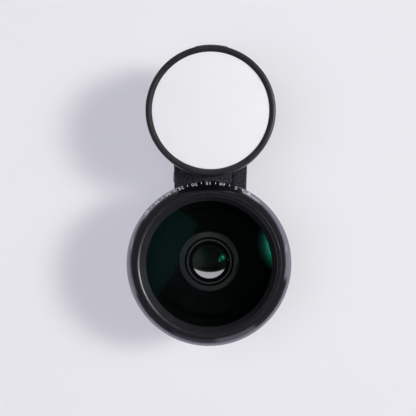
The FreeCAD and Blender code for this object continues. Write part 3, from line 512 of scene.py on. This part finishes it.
def turnedMesh(points, segments, axisY=0.0, dent=None):
    vertices, rings, faces = [], [], []
    for r, z in points:
        if r < 1e-6:
            rings.append([len(vertices)])
            vertices.append((0, axisY * mm, z * mm))
            continue
        ring = []
        for k in range(segments):
            turn = 2 * math.pi * k / segments
            out = dent(r, z, turn) if dent else r
            ring.append(len(vertices))
            vertices.append((out * math.cos(turn) * mm, (axisY + out * math.sin(turn)) * mm, z * mm))
        rings.append(ring)
    for i, ring in enumerate(rings):
        following = rings[(i + 1) % len(rings)]
        if len(ring) == 1 and len(following) == 1:
            continue
        for k in range(segments):
            n = (k + 1) % segments
            if len(ring) == 1:
                faces.append((ring[0], following[k], following[n]))
            elif len(following) == 1:
                faces.append((ring[k], following[0], ring[n]))
            else:
                faces.append((ring[k], following[k], following[n], ring[n]))
    mesh = bpy.data.meshes.new("turned")
    mesh.from_pydata(vertices, [], faces)
    smoothed(mesh, 32)
    return mesh


def knurl(radius, low, high):
    # upright grooves, each a small round cut in the rim
    cut = {"count": 48, "radius": 0.45, "depth": 0.22}
    middle = radius + cut["radius"] - cut["depth"]

    def dent(r, z, turn):
        if r < radius - 2 * cut["depth"] or z < low - 1e-4 or z > high + 1e-4:
            return r
        pitch = 2 * math.pi / cut["count"]
        off = (turn + pitch / 2) % pitch - pitch / 2
        inside = cut["radius"] ** 2 - (middle * math.sin(off)) ** 2
        if inside <= 0:
            return r
        return min(r, middle * math.cos(off) - math.sqrt(inside))
    return dent


def domed(edge, vertex, curve, count):  # points of a glass's face, from its middle to its edge
    points = []
    for k in range(count + 1):
        r = edge * k / count
        drop = abs(curve) - math.sqrt(curve * curve - r * r)
        points.append(Vector((r, vertex - math.copysign(drop, curve))))
    return points


def finishWhere(mesh, index, test):  # gives another finish to the faces whose middle passes the test
    for face in mesh.polygons:
        c = face.center / mm
        if test(math.hypot(c.x, c.y), c.z, face.normal):
            face.material_index = index


def keptShape(node, finish, bevel):
    # a CAD solid with its triangles merged, its edges broken and its round faces shaded smooth
    sharp = math.radians(30)
    mesh = nodes[node].data.copy()
    mesh.materials.clear()
    bm = bmesh.new()
    bm.from_mesh(mesh)
    bmesh.ops.remove_doubles(bm, verts=bm.verts, dist=2e-6)
    bmesh.ops.dissolve_limit(bm, angle_limit=math.radians(0.4), verts=bm.verts, edges=bm.edges)
    for face in bm.faces:
        face.smooth = True
        face.material_index = 0
    bm.to_mesh(mesh)
    bm.free()
    mesh.set_sharp_from_angle(angle=sharp)
    rough = newObject("rough", mesh)
    if bevel:
        broken = rough.modifiers.new("brokenEdges", "BEVEL")
        broken.width = bevel * mm
        broken.segments = 2
        broken.limit_method = "ANGLE"
        broken.angle_limit = sharp
        broken.harden_normals = True
    rough.modifiers.new("evenShade", "WEIGHTED_NORMAL").keep_sharp = True
    place(plainMesh(rough), node, [finish])


# Lens: wide part

head = {
    "low": 14.2, "bore": 11.36, "neck": 14.6, "neckTop": 17.4, "neckRound": 0.4, "groove": 13.9,
    "grooveTop": 18.6, "grooveRound": 1.5, "radius": 25.1, "flareZ": 25.2, "flareRound": 4.0, "edgeZ": 31.15,
    "edgeRound": 2.5, "bevel": (22.79, 33.26, 24.0), "crest": (21.8, 34.0, 0.1), "lip": (21.21, 34.0, 1.6),
    "lipRadius": 20.8, "lipZ": 33.72, "shelf": 31.13, "glassBore": 20.4, "seat": 24.82, "seatRadius": 17.2,
    "coneFoot": 12.0, "coneFootZ": 18.7, "chamfer": 0.6,
}
path = roundedPath([
    (head["bore"], head["low"]), (head["neck"], head["low"], head["neckRound"]),
    (head["neck"], head["neckTop"], head["neckRound"]), (head["groove"], head["neckTop"]),
    (head["groove"], head["grooveTop"], head["grooveRound"]),
    (head["radius"], head["flareZ"], head["flareRound"]), (head["radius"], head["edgeZ"], head["edgeRound"]),
    head["bevel"], head["crest"], head["lip"], (head["lipRadius"], head["lipZ"]),
    (head["lipRadius"], head["shelf"]), (head["glassBore"], head["shelf"]), (head["glassBore"], head["seat"]),
    (head["seatRadius"], head["seat"]), (head["coneFoot"], head["coneFootZ"]),
    (head["bore"], head["coneFootZ"] - head["chamfer"])], 3)
mesh = turnedMesh(path, 384, dent=knurl(head["neck"], head["low"], head["neckTop"]))


def onNeck(r, z):
    return r > head["coneFoot"] + 1.0 and z < head["grooveTop"] + 0.1


finishWhere(mesh, 1, lambda r, z, n: r < head["glassBore"] + 0.1 and z > head["coneFootZ"] - 0.8 and n.z > -0.5
            and not onNeck(r, z))
finishWhere(mesh, 2, lambda r, z, n: onNeck(r, z) or r < head["crest"][0] + 0.1 and z > head["lipZ"] - 0.2)
place(mesh, "wide_barrel", [blackAnodised, borePaint, satinAnodised])

glass = {"vertex": 33.9, "front": 78.0, "edge": 20.3, "rearVertex": 31.7, "rear": 24.0, "clear": 16.8}
front = domed(glass["edge"], glass["vertex"], glass["front"], 40)
rear = domed(glass["clear"], glass["rearVertex"], glass["rear"], 40)
mesh = turnedMesh(front + [Vector((glass["edge"], rear[-1].y))] + rear[::-1], 256)
finishWhere(mesh, 1, lambda r, z, n: abs(n.z) < 0.1 and r > glass["edge"] - 0.3
            or n.z < -0.99 and r > glass["clear"] + 0.1)
finishWhere(mesh, 2, lambda r, z, n: n.z < 0 and r < glass["clear"] + 0.05)
place(mesh, "front_element", [frontGlass, borePaint, innerGlass])

ring = {"foot": 31.585, "footRound": 0.04, "bore": 19.05, "radius": 20.78, "outerFoot": 31.17, "top": 33.88,
        "topRound": 0.18, "bevelTop": 20.5, "bevelRound": 0.1}
path = roundedPath([
    (ring["bore"], ring["foot"], ring["footRound"]), (ring["radius"], ring["outerFoot"]),
    (ring["radius"], ring["top"], ring["topRound"]), (ring["bevelTop"], ring["top"], ring["bevelRound"])], 10)
place(turnedMesh(path, 320), "front_retaining_ring", [turnedAnodised])


# Lens: macro part

macro = {
    "low": 6.9, "thread": 8.45, "threadRound": 0.2, "bore": 6.9, "flange": 13.2, "flangeLow": 10.7,
    "flangeTop": 14.2, "flangeRound": 0.4, "nose": 11.3, "noseRound": 0.25, "top": 17.8, "ringBore": 8.85,
    "mouthChamfer": 0.45, "shelf": 15.7, "glassBore": 8.1, "seat": 12.93,
}
macroMouth = macro["ringBore"] + macro["mouthChamfer"]
path = roundedPath([
    (macro["bore"], macro["low"]), (macro["thread"], macro["low"], macro["threadRound"]),
    (macro["thread"], macro["flangeLow"]), (macro["flange"], macro["flangeLow"], macro["flangeRound"]),
    (macro["flange"], macro["flangeTop"], macro["flangeRound"]), (macro["nose"], macro["flangeTop"]),
    (macro["nose"], macro["top"], macro["noseRound"]), (macroMouth, macro["top"]),
    (macro["ringBore"], macro["top"] - macro["mouthChamfer"]), (macro["ringBore"], macro["shelf"]),
    (macro["glassBore"], macro["shelf"]), (macro["glassBore"], macro["seat"]),
    (macro["bore"], macro["seat"])], 12)
mesh = turnedMesh(path, 384, dent=knurl(macro["flange"], macro["flangeLow"], macro["flangeTop"]))
finishWhere(mesh, 1, lambda r, z, n: r < macroMouth and z > macro["low"] + 0.1
            and not (r > macro["bore"] + 0.5 and z < macro["seat"] - 0.5))
finishWhere(mesh, 2, lambda r, z, n: r > macroMouth and z > macro["top"] - 0.3)
place(mesh, "macro_barrel", [satinAnodised, borePaint, greyAnodised])

bead = {"edge": 8.0, "vertex": 17.0, "front": 25.0, "rearVertex": 12.6, "rear": 70.0}
front = domed(bead["edge"], bead["vertex"], bead["front"], 32)
rear = domed(bead["edge"], bead["rearVertex"], -bead["rear"], 32)
mesh = turnedMesh(front + rear[::-1], 192)
finishWhere(mesh, 1, lambda r, z, n: abs(n.z) < 0.1 and r > bead["edge"] - 0.1)
finishWhere(mesh, 2, lambda r, z, n: n.z < -0.5)
place(mesh, "macro_element", [macroGlass, borePaint, clearGlass])

mouth = {"bore": 6.5, "foot": 16.2, "footRound": 0.04, "glassEdge": 8.0, "low": 15.75, "radius": 8.8,
         "top": 17.45, "topRound": 0.06, "band": 8.5, "mouth": 7.9}
path = roundedPath([
    (mouth["bore"], mouth["foot"], mouth["footRound"]), (mouth["glassEdge"], mouth["low"]),
    (mouth["radius"], mouth["low"]), (mouth["radius"], mouth["top"], mouth["topRound"]),
    (mouth["band"], mouth["top"]), (mouth["mouth"], mouth["top"], mouth["topRound"])], 15)
mesh = turnedMesh(path, 240)
finishWhere(mesh, 1, lambda r, z, n: (r < mouth["mouth"] or r > mouth["band"]) and n.z > -0.5)
place(mesh, "macro_retaining_ring", [turnedAnodised, borePaint])

bush = {"bore": 8.5, "low": 6.6, "radius": 9.4, "jawTop": 9.9, "flange": 10.6, "top": 10.7, "round": 0.1,
        "flangeRound": 0.2}
path = roundedPath([
    (bush["bore"], bush["low"], bush["round"]), (bush["radius"], bush["low"], bush["round"]),
    (bush["radius"], bush["jawTop"]), (bush["flange"], bush["jawTop"]),
    (bush["flange"], bush["top"], bush["flangeRound"]), (bush["bore"], bush["top"], bush["round"])], 15)
place(turnedMesh(path, 240), "clip_bush", [turnedAnodised])
print("lens made")


# Node trees that set out what repeats or follows a path

def newTree(name, inputs):  # inputs are (label, kind)
    tree = bpy.data.node_groups.new(name, "GeometryNodeTree")
    tree.is_modifier = True
    sizes = {}
    for label, kind in inputs:
        sizes[label] = tree.interface.new_socket(label, in_out="INPUT", socket_type="NodeSocket" + kind)
    tree.interface.new_socket("Geometry", in_out="OUTPUT", socket_type="NodeSocketGeometry")
    return tree, sizes, tree.nodes.new("NodeGroupInput").outputs


def grown(name, tree, sizes, values, start=None):  # runs a node tree on its own object for a plain mesh
    holder = newObject(name + "Seed", start or bpy.data.meshes.new(name + "Seed"))
    run = holder.modifiers.new(name, "NODES")
    run.node_group = tree
    for label, value in values.items():
        run[sizes[label].identifier] = value
    mesh = plainMesh(holder)
    mesh.name = name
    return mesh


# Clip

for node, finish, bevel in (
        ("front_arm", armPlastic, 0.18), ("rear_arm", armPlastic, 0.15),
        ("rear_jaw_pad", siliconeRubber, 0.12), ("front_jaw_pad", siliconeRubber, 0.12),
        ("hinge_pin", drawnSteel, 0.05)):
    keptShape(node, finish, bevel)


def springTree():
    # the wire's middle is a helix about the pin, and both legs leave it along its own direction
    tree, sizes, given = newTree("torsionSpring", [(label, "Float") for label in (
        "Wire Radius", "Coil Radius", "Rise", "Start Turn", "Sweep", "Lower Leg", "Upper Leg",
        "Pin Y", "Pin Z")])
    line = addNode(tree, "GeometryNodeCurvePrimitiveLine", {"End": (1, 0, 0)})
    dense = addNode(tree, "GeometryNodeResampleCurve", {"Count": 320}, {0: line})
    share = addNode(tree, "GeometryNodeSplineParameter").outputs["Factor"]
    # angles along the wire: below zero on the lower leg, past the sweep on the upper one
    slant = addNode(tree, "ShaderNodeCombineXYZ", {}, {0: given["Coil Radius"], 1: given["Rise"]})
    perTurn = addNode(tree, "ShaderNodeVectorMath", {"operation": "LENGTH"}, {0: slant}).outputs["Value"]
    lower = addNode(tree, "ShaderNodeMath", {"operation": "DIVIDE"}, {0: given["Lower Leg"], 1: perTurn})
    upper = addNode(tree, "ShaderNodeMath", {"operation": "DIVIDE"}, {0: given["Upper Leg"], 1: perTurn})
    first = addNode(tree, "ShaderNodeMath", {"operation": "MULTIPLY", 1: -1.0}, {0: lower})
    last = addNode(tree, "ShaderNodeMath", {"operation": "ADD"}, {0: given["Sweep"], 1: upper})
    angle = addNode(tree, "ShaderNodeMapRange", {}, {0: share, "To Min": first, "To Max": last})
    wound = addNode(tree, "ShaderNodeClamp", {}, {0: angle, "Max": given["Sweep"]})
    beyond = addNode(tree, "ShaderNodeMath", {"operation": "SUBTRACT"}, {0: angle, 1: wound})
    turn = addNode(tree, "ShaderNodeMath", {"operation": "SUBTRACT"}, {0: given["Start Turn"], 1: wound})
    cosine = addNode(tree, "ShaderNodeMath", {"operation": "COSINE"}, {0: turn})
    sine = addNode(tree, "ShaderNodeMath", {"operation": "SINE"}, {0: turn})
    aside = addNode(tree, "ShaderNodeMath", {"operation": "MULTIPLY_ADD", 1: -0.5}, {
        0: given["Sweep"], 2: angle})
    outwards = addNode(tree, "ShaderNodeMath", {"operation": "MULTIPLY_ADD"}, {0: sine, 1: beyond, 2: cosine})
    fall = addNode(tree, "ShaderNodeMath", {"operation": "MULTIPLY"}, {0: cosine, 1: beyond})
    upwards = addNode(tree, "ShaderNodeMath", {"operation": "SUBTRACT"}, {0: sine, 1: fall})
    unit = addNode(tree, "ShaderNodeCombineXYZ", {}, {0: aside, 1: outwards, 2: upwards})
    scale = addNode(tree, "ShaderNodeCombineXYZ", {}, {
        0: given["Rise"], 1: given["Coil Radius"], 2: given["Coil Radius"]})
    pin = addNode(tree, "ShaderNodeCombineXYZ", {}, {1: given["Pin Y"], 2: given["Pin Z"]})
    spot = addNode(tree, "ShaderNodeVectorMath", {"operation": "MULTIPLY_ADD"}, {0: unit, 1: scale, 2: pin})
    bent = addNode(tree, "GeometryNodeSetPosition", {}, {0: dense, "Position": spot})
    section = addNode(tree, "GeometryNodeCurvePrimitiveCircle", {"Resolution": 16}, {
        "Radius": given["Wire Radius"]})
    wire = addNode(tree, "GeometryNodeCurveToMesh", {"Fill Caps": True}, {0: bent, 1: section})
    real = addNode(tree, "GeometryNodeRealizeInstances", {}, {0: wire})
    dressed = addNode(tree, "GeometryNodeSetMaterial", {"Material": springWire}, {0: real})
    addNode(tree, "NodeGroupOutput", {}, {0: dressed})
    return tree, sizes


def legTilt(length, reach, coil):  # the tilt at which a leg's end stands at that distance from the pin's level
    return math.asin(reach / math.hypot(coil, length)) - math.atan2(coil, length)


spring = {
    "wire": 0.55, "coil": 2.6, "pitch": 1.6, "halfTurns": 11, "lower": 13.0, "upper": 11.0, "pinY": 27.0,
    "pinZ": 7.6, "rampFoot": (15.5, 5.9), "rampHead": (35.5, 18.6), "clearance": 0.02, "armThick": 3.0,
}
gap = spring["wire"] + spring["clearance"]
slope = math.atan2(spring["rampHead"][1] - spring["rampFoot"][1],
                   spring["rampHead"][0] - spring["rampFoot"][0])
roof = ((spring["pinY"] - spring["rampFoot"][0]) * math.sin(slope)
        - (spring["pinZ"] - spring["rampFoot"][1]) * math.cos(slope))
lowTilt = legTilt(spring["lower"], spring["pinZ"] - spring["armThick"] - gap, spring["coil"])
highTilt = slope + legTilt(spring["upper"], roof - gap, spring["coil"])
tree, sizes = springTree()
mesh = grown("torsionSpring", tree, sizes, {
    "Wire Radius": spring["wire"] * mm, "Coil Radius": spring["coil"] * mm,
    "Rise": spring["pitch"] * mm / (2 * math.pi), "Start Turn": -math.pi / 2 - lowTilt,
    "Sweep": spring["halfTurns"] * math.pi - lowTilt - highTilt, "Lower Leg": spring["lower"] * mm,
    "Upper Leg": spring["upper"] * mm, "Pin Y": spring["pinY"] * mm, "Pin Z": spring["pinZ"] * mm})
smoothed(mesh, 40)
wire = newObject("torsionSpring", mesh)
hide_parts("torsion_spring")
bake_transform(wire)
print("clip made")


# Lamp

lampAxis = 46.2
keptShape("lamp_housing", satinAbs, 0.0)

bezel = {
    "radius": 19.55, "low": 31.0, "lowRound": 0.08, "top": 35.0, "topRound": 0.7, "faceIn": 18.35,
    "faceRound": 0.12, "window": 17.6, "bevelZ": 34.35, "bevelRound": 0.05, "lipLow": 34.2, "seat": 18.4,
    "seatLow": 32.85, "bore": 18.65,
}
path = roundedPath([
    (bezel["radius"], bezel["low"], bezel["lowRound"]), (bezel["radius"], bezel["top"], bezel["topRound"]),
    (bezel["faceIn"], bezel["top"], bezel["faceRound"]),
    (bezel["window"], bezel["bevelZ"], bezel["bevelRound"]), (bezel["window"], bezel["lipLow"]),
    (bezel["seat"], bezel["lipLow"]), (bezel["seat"], bezel["seatLow"]), (bezel["bore"], bezel["seatLow"]),
    (bezel["bore"], bezel["low"])], 10)
place(turnedMesh(path, 320, lampAxis), "lamp_bezel", [satinAbs])

disc = {"radius": 18.3, "low": 32.8, "lowRound": 0.15, "top": 34.19, "topRound": 0.08}
path = roundedPath([(0, disc["low"]), (disc["radius"], disc["low"], disc["lowRound"]),
                    (disc["radius"], disc["top"], disc["topRound"]), (0, disc["top"])], 20)
place(turnedMesh(path, 256, lampAxis), "diffuser", [opal])

for node, finish, bevel in (
        ("power_key", satinAbs, 0.0), ("switch_plunger", nylon, 0.05), ("tact_switch", chipEpoxy, 0.08),
        ("usb_socket", tinnedSteel, 0.0), ("led_board", solderMask, 0.05), ("board_parts", chipEpoxy, 0.06),
        ("board_screws", zincPlate, 0.06), ("housing_screws", zincPlate, 0.08), ("battery", cellFoil, 0.35),
        ("battery_tape", foamTape, 0.05), ("battery_leads", leadPvc, 0.0)):
    keptShape(node, finish, bevel)


def ledTree():
    # one LED is a white case with a round window of phosphor, set out on a circle and facing up
    tree, sizes, given = newTree("ledRing", (
        ("Count", "Int"), ("Ring Radius", "Float"), ("Length", "Float"), ("Width", "Float"),
        ("Height", "Float"), ("Window", "Float"), ("Centre", "Vector")))
    extent = addNode(tree, "ShaderNodeCombineXYZ", {}, {
        0: given["Width"], 1: given["Length"], 2: given["Height"]})
    half = addNode(tree, "ShaderNodeVectorMath", {"operation": "MULTIPLY", 1: (0, 0, 0.5)}, {0: extent})
    full = addNode(tree, "ShaderNodeVectorMath", {"operation": "MULTIPLY", 1: (0, 0, 1)}, {0: extent})
    case = addNode(tree, "GeometryNodeMeshCube", {}, {"Size": extent})
    case = addNode(tree, "GeometryNodeTransform", {}, {0: case, "Translation": half})
    case = addNode(tree, "GeometryNodeSetMaterial", {"Material": solderMask}, {0: case})
    gel = addNode(tree, "GeometryNodeMeshCylinder", {"Vertices": 24, "Depth": 0.02 * mm}, {
        "Radius": given["Window"]})
    gel = addNode(tree, "GeometryNodeTransform", {}, {0: gel, "Translation": full})
    gel = addNode(tree, "GeometryNodeSetMaterial", {"Material": phosphor}, {0: gel})
    led = addNode(tree, "GeometryNodeJoinGeometry", {}, {0: gel})
    tree.links.new(case.outputs[0], led.inputs[0])
    spots = addNode(tree, "GeometryNodeMeshCircle", {}, {
        "Vertices": given["Count"], "Radius": given["Ring Radius"]})
    index = addNode(tree, "GeometryNodeInputIndex")
    share = addNode(tree, "ShaderNodeMath", {"operation": "DIVIDE"}, {0: index, 1: given["Count"]})
    angle = addNode(tree, "ShaderNodeMath", {"operation": "MULTIPLY", 1: 2 * math.pi}, {0: share})
    facing = addNode(tree, "ShaderNodeCombineXYZ", {}, {2: angle})
    copies = addNode(tree, "GeometryNodeInstanceOnPoints", {}, {
        "Points": spots, "Instance": led, "Rotation": facing})
    moved = addNode(tree, "GeometryNodeTransform", {}, {0: copies, "Translation": given["Centre"]})
    real = addNode(tree, "GeometryNodeRealizeInstances", {}, {0: moved})
    addNode(tree, "NodeGroupOutput", {}, {0: real})
    return tree, sizes


leds = {"rings": ((12, 11.4), (6, 5.2)), "length": 3.5, "width": 2.8, "height": 0.69, "window": 0.9,
        "board": 30.6}
tree, sizes = ledTree()
bm = bmesh.new()
for count, radius in leds["rings"]:
    part = grown("ledRing", tree, sizes, {
        "Count": count, "Ring Radius": radius * mm, "Length": leds["length"] * mm, "Width": leds["width"] * mm,
        "Height": leds["height"] * mm, "Window": leds["window"] * mm,
        "Centre": Vector((0, lampAxis, leds["board"])) * mm})
    finishes = list(part.materials)
    bm.from_mesh(part)
mesh = bpy.data.meshes.new("leds")
bm.to_mesh(mesh)
bm.free()
place(mesh, "leds", finishes)
print("lamp made")


# Printed index marks on the head's outer edge: a plain scale of ticks and numbers

def markTree():
    # ticks are set out on a flat strip, joined with the numbers, and the strip is laid round the edge
    tree, sizes, given = newTree("edgeMarks", [("Geometry", "Geometry"), ("Count", "Int")] + [
        (label, "Float") for label in (
            "Pitch", "Start", "Tick Width", "Tick Length", "Tick Offset", "Strip Radius", "Round Middle",
            "Round Radius", "Round Height", "Bevel Tilt", "Turn", "Lift")])
    tick = addNode(tree, "GeometryNodeMeshGrid", {"Vertices X": 2, "Vertices Y": 5},
                   {"Size X": given["Tick Width"], "Size Y": given["Tick Length"]})
    step = addNode(tree, "ShaderNodeCombineXYZ", {}, {0: given["Pitch"]})
    first = addNode(tree, "ShaderNodeCombineXYZ", {}, {0: given["Start"], 1: given["Tick Offset"]})
    row = addNode(tree, "GeometryNodeMeshLine", {}, {
        "Count": given["Count"], "Start Location": first, "Offset": step})
    ticks = addNode(tree, "GeometryNodeInstanceOnPoints", {}, {"Points": row, "Instance": tick})
    ticks = addNode(tree, "GeometryNodeRealizeInstances", {}, {0: ticks})
    strip = addNode(tree, "GeometryNodeJoinGeometry", {}, {0: ticks})
    tree.links.new(given["Geometry"], strip.inputs[0])
    flat = addNode(tree, "ShaderNodeSeparateXYZ", {}, {0: addNode(tree, "GeometryNodeInputPosition")}).outputs
    turn = addNode(tree, "ShaderNodeMath", {"operation": "DIVIDE"}, {0: flat["X"], 1: given["Strip Radius"]})
    turn = addNode(tree, "ShaderNodeMath", {"operation": "ADD"}, {0: turn, 1: given["Turn"]})
    # strip heights below zero bend round the edge
    below = addNode(tree, "ShaderNodeMath", {"operation": "MINIMUM", 1: 0.0}, {0: flat["Y"]})
    below = addNode(tree, "ShaderNodeMath", {"operation": "DIVIDE"}, {0: below, 1: given["Round Radius"]})
    tilt = addNode(tree, "ShaderNodeMath", {"operation": "SUBTRACT"}, {0: given["Bevel Tilt"], 1: below})
    reach = addNode(tree, "ShaderNodeMath", {"operation": "ADD"}, {0: given["Round Radius"], 1: given["Lift"]})
    reach = addNode(tree, "ShaderNodeCombineXYZ", {}, {2: reach})
    bent = addNode(tree, "ShaderNodeVectorRotate", {"rotation_type": "X_AXIS", "invert": True},
                   {"Vector": reach, "Angle": tilt})
    # and those above it climb the bevel
    above = addNode(tree, "ShaderNodeMath", {"operation": "MAXIMUM", 1: 0.0}, {0: flat["Y"]})
    climb = addNode(tree, "ShaderNodeCombineXYZ", {}, {1: above})
    climb = addNode(tree, "ShaderNodeVectorRotate", {"rotation_type": "X_AXIS", "invert": True},
                    {"Vector": climb, "Angle": given["Bevel Tilt"]})
    middle = addNode(tree, "ShaderNodeCombineXYZ", {}, {1: given["Round Middle"], 2: given["Round Height"]})
    spot = addNode(tree, "ShaderNodeVectorMath", {"operation": "ADD"}, {0: middle, 1: bent})
    spot = addNode(tree, "ShaderNodeVectorMath", {"operation": "SUBTRACT"}, {0: spot, 1: climb})
    spot = addNode(tree, "ShaderNodeVectorRotate", {"rotation_type": "Z_AXIS"}, {
        "Vector": spot, "Angle": turn})
    laid = addNode(tree, "GeometryNodeSetPosition", {}, {0: strip, "Position": spot})
    real = addNode(tree, "GeometryNodeRealizeInstances", {}, {0: laid})
    dressed = addNode(tree, "GeometryNodeSetMaterial", {"Material": padPrintInk}, {0: real})
    addNode(tree, "NodeGroupOutput", {}, {0: dressed})
    return tree, sizes


marks = {
    "numbers": ("0", "5", "10", "15", "20", "25", "30", "35", "40"), "step": 10.0, "from": -29.0, "size": 1.95,
    "middle": -0.25, "halfHeight": 0.36, "tickWidth": 0.2, "tickLength": 0.9, "tickOffset": -0.4,
    "stripRadius": 24.4, "lift": 0.015, "cuts": 8, "cutPitch": 0.14,
}
degree = marks["stripRadius"] * math.pi / 180
strip = bmesh.new()
for i, number in enumerate(marks["numbers"]):
    text = bpy.data.curves.new("number", "FONT")
    text.body = number
    text.size = marks["size"] * mm
    text.align_x = "CENTER"
    text.resolution_u = 3
    figure = plainMesh(newObject("number", text))
    low = marks["middle"] - marks["halfHeight"] * marks["size"]
    figure.transform(Matrix.Translation((i * marks["step"] * degree * mm, low * mm, 0)))
    strip.from_mesh(figure)
for k in range(-marks["cuts"], 1):  # cut across so that the figures can bend over the edge
    bmesh.ops.bisect_plane(strip, geom=strip.verts[:] + strip.edges[:] + strip.faces[:],
                           plane_co=(0, k * marks["cutPitch"] * mm, 0), plane_no=(0, 1, 0))
flatMesh = bpy.data.meshes.new("flatMarks")
strip.to_mesh(flatMesh)
strip.free()
bevelTilt = math.atan2(head["bevel"][1] - head["edgeZ"], head["radius"] - head["bevel"][0])
roundZ = head["edgeZ"] - head["edgeRound"] * math.tan((math.pi / 2 - bevelTilt) / 2)
tree, sizes = markTree()
mesh = grown("indexMarks", tree, sizes, {
    "Count": len(marks["numbers"]) - 1, "Pitch": marks["step"] * degree * mm,
    "Start": marks["step"] / 2 * degree * mm, "Tick Width": marks["tickWidth"] * mm,
    "Tick Length": marks["tickLength"] * mm, "Tick Offset": marks["tickOffset"] * mm,
    "Strip Radius": marks["stripRadius"] * mm, "Round Middle": (head["radius"] - head["edgeRound"]) * mm,
    "Round Radius": head["edgeRound"] * mm, "Round Height": roundZ * mm, "Bevel Tilt": bevelTilt,
    "Turn": math.radians(marks["from"]), "Lift": marks["lift"] * mm}, flatMesh)
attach(newObject("indexMarks", mesh), "wide_lens")
print("marks made")


# Floor

floor = {"half": 1500.0, "near": -480.0, "low": -0.03}  # its near edge is what the head's lower rim mirrors
side = floor["half"]
corners = [(-side, floor["near"]), (side, floor["near"]), (side, side), (-side, side)]
mesh = bpy.data.meshes.new("paperFloor")
mesh.from_pydata([(x * mm, y * mm, floor["low"] * mm) for x, y in corners], [], [(0, 1, 2, 3)])
mesh.materials.append(lightTable)
newObject("paperFloor", mesh)

print("scene ready")
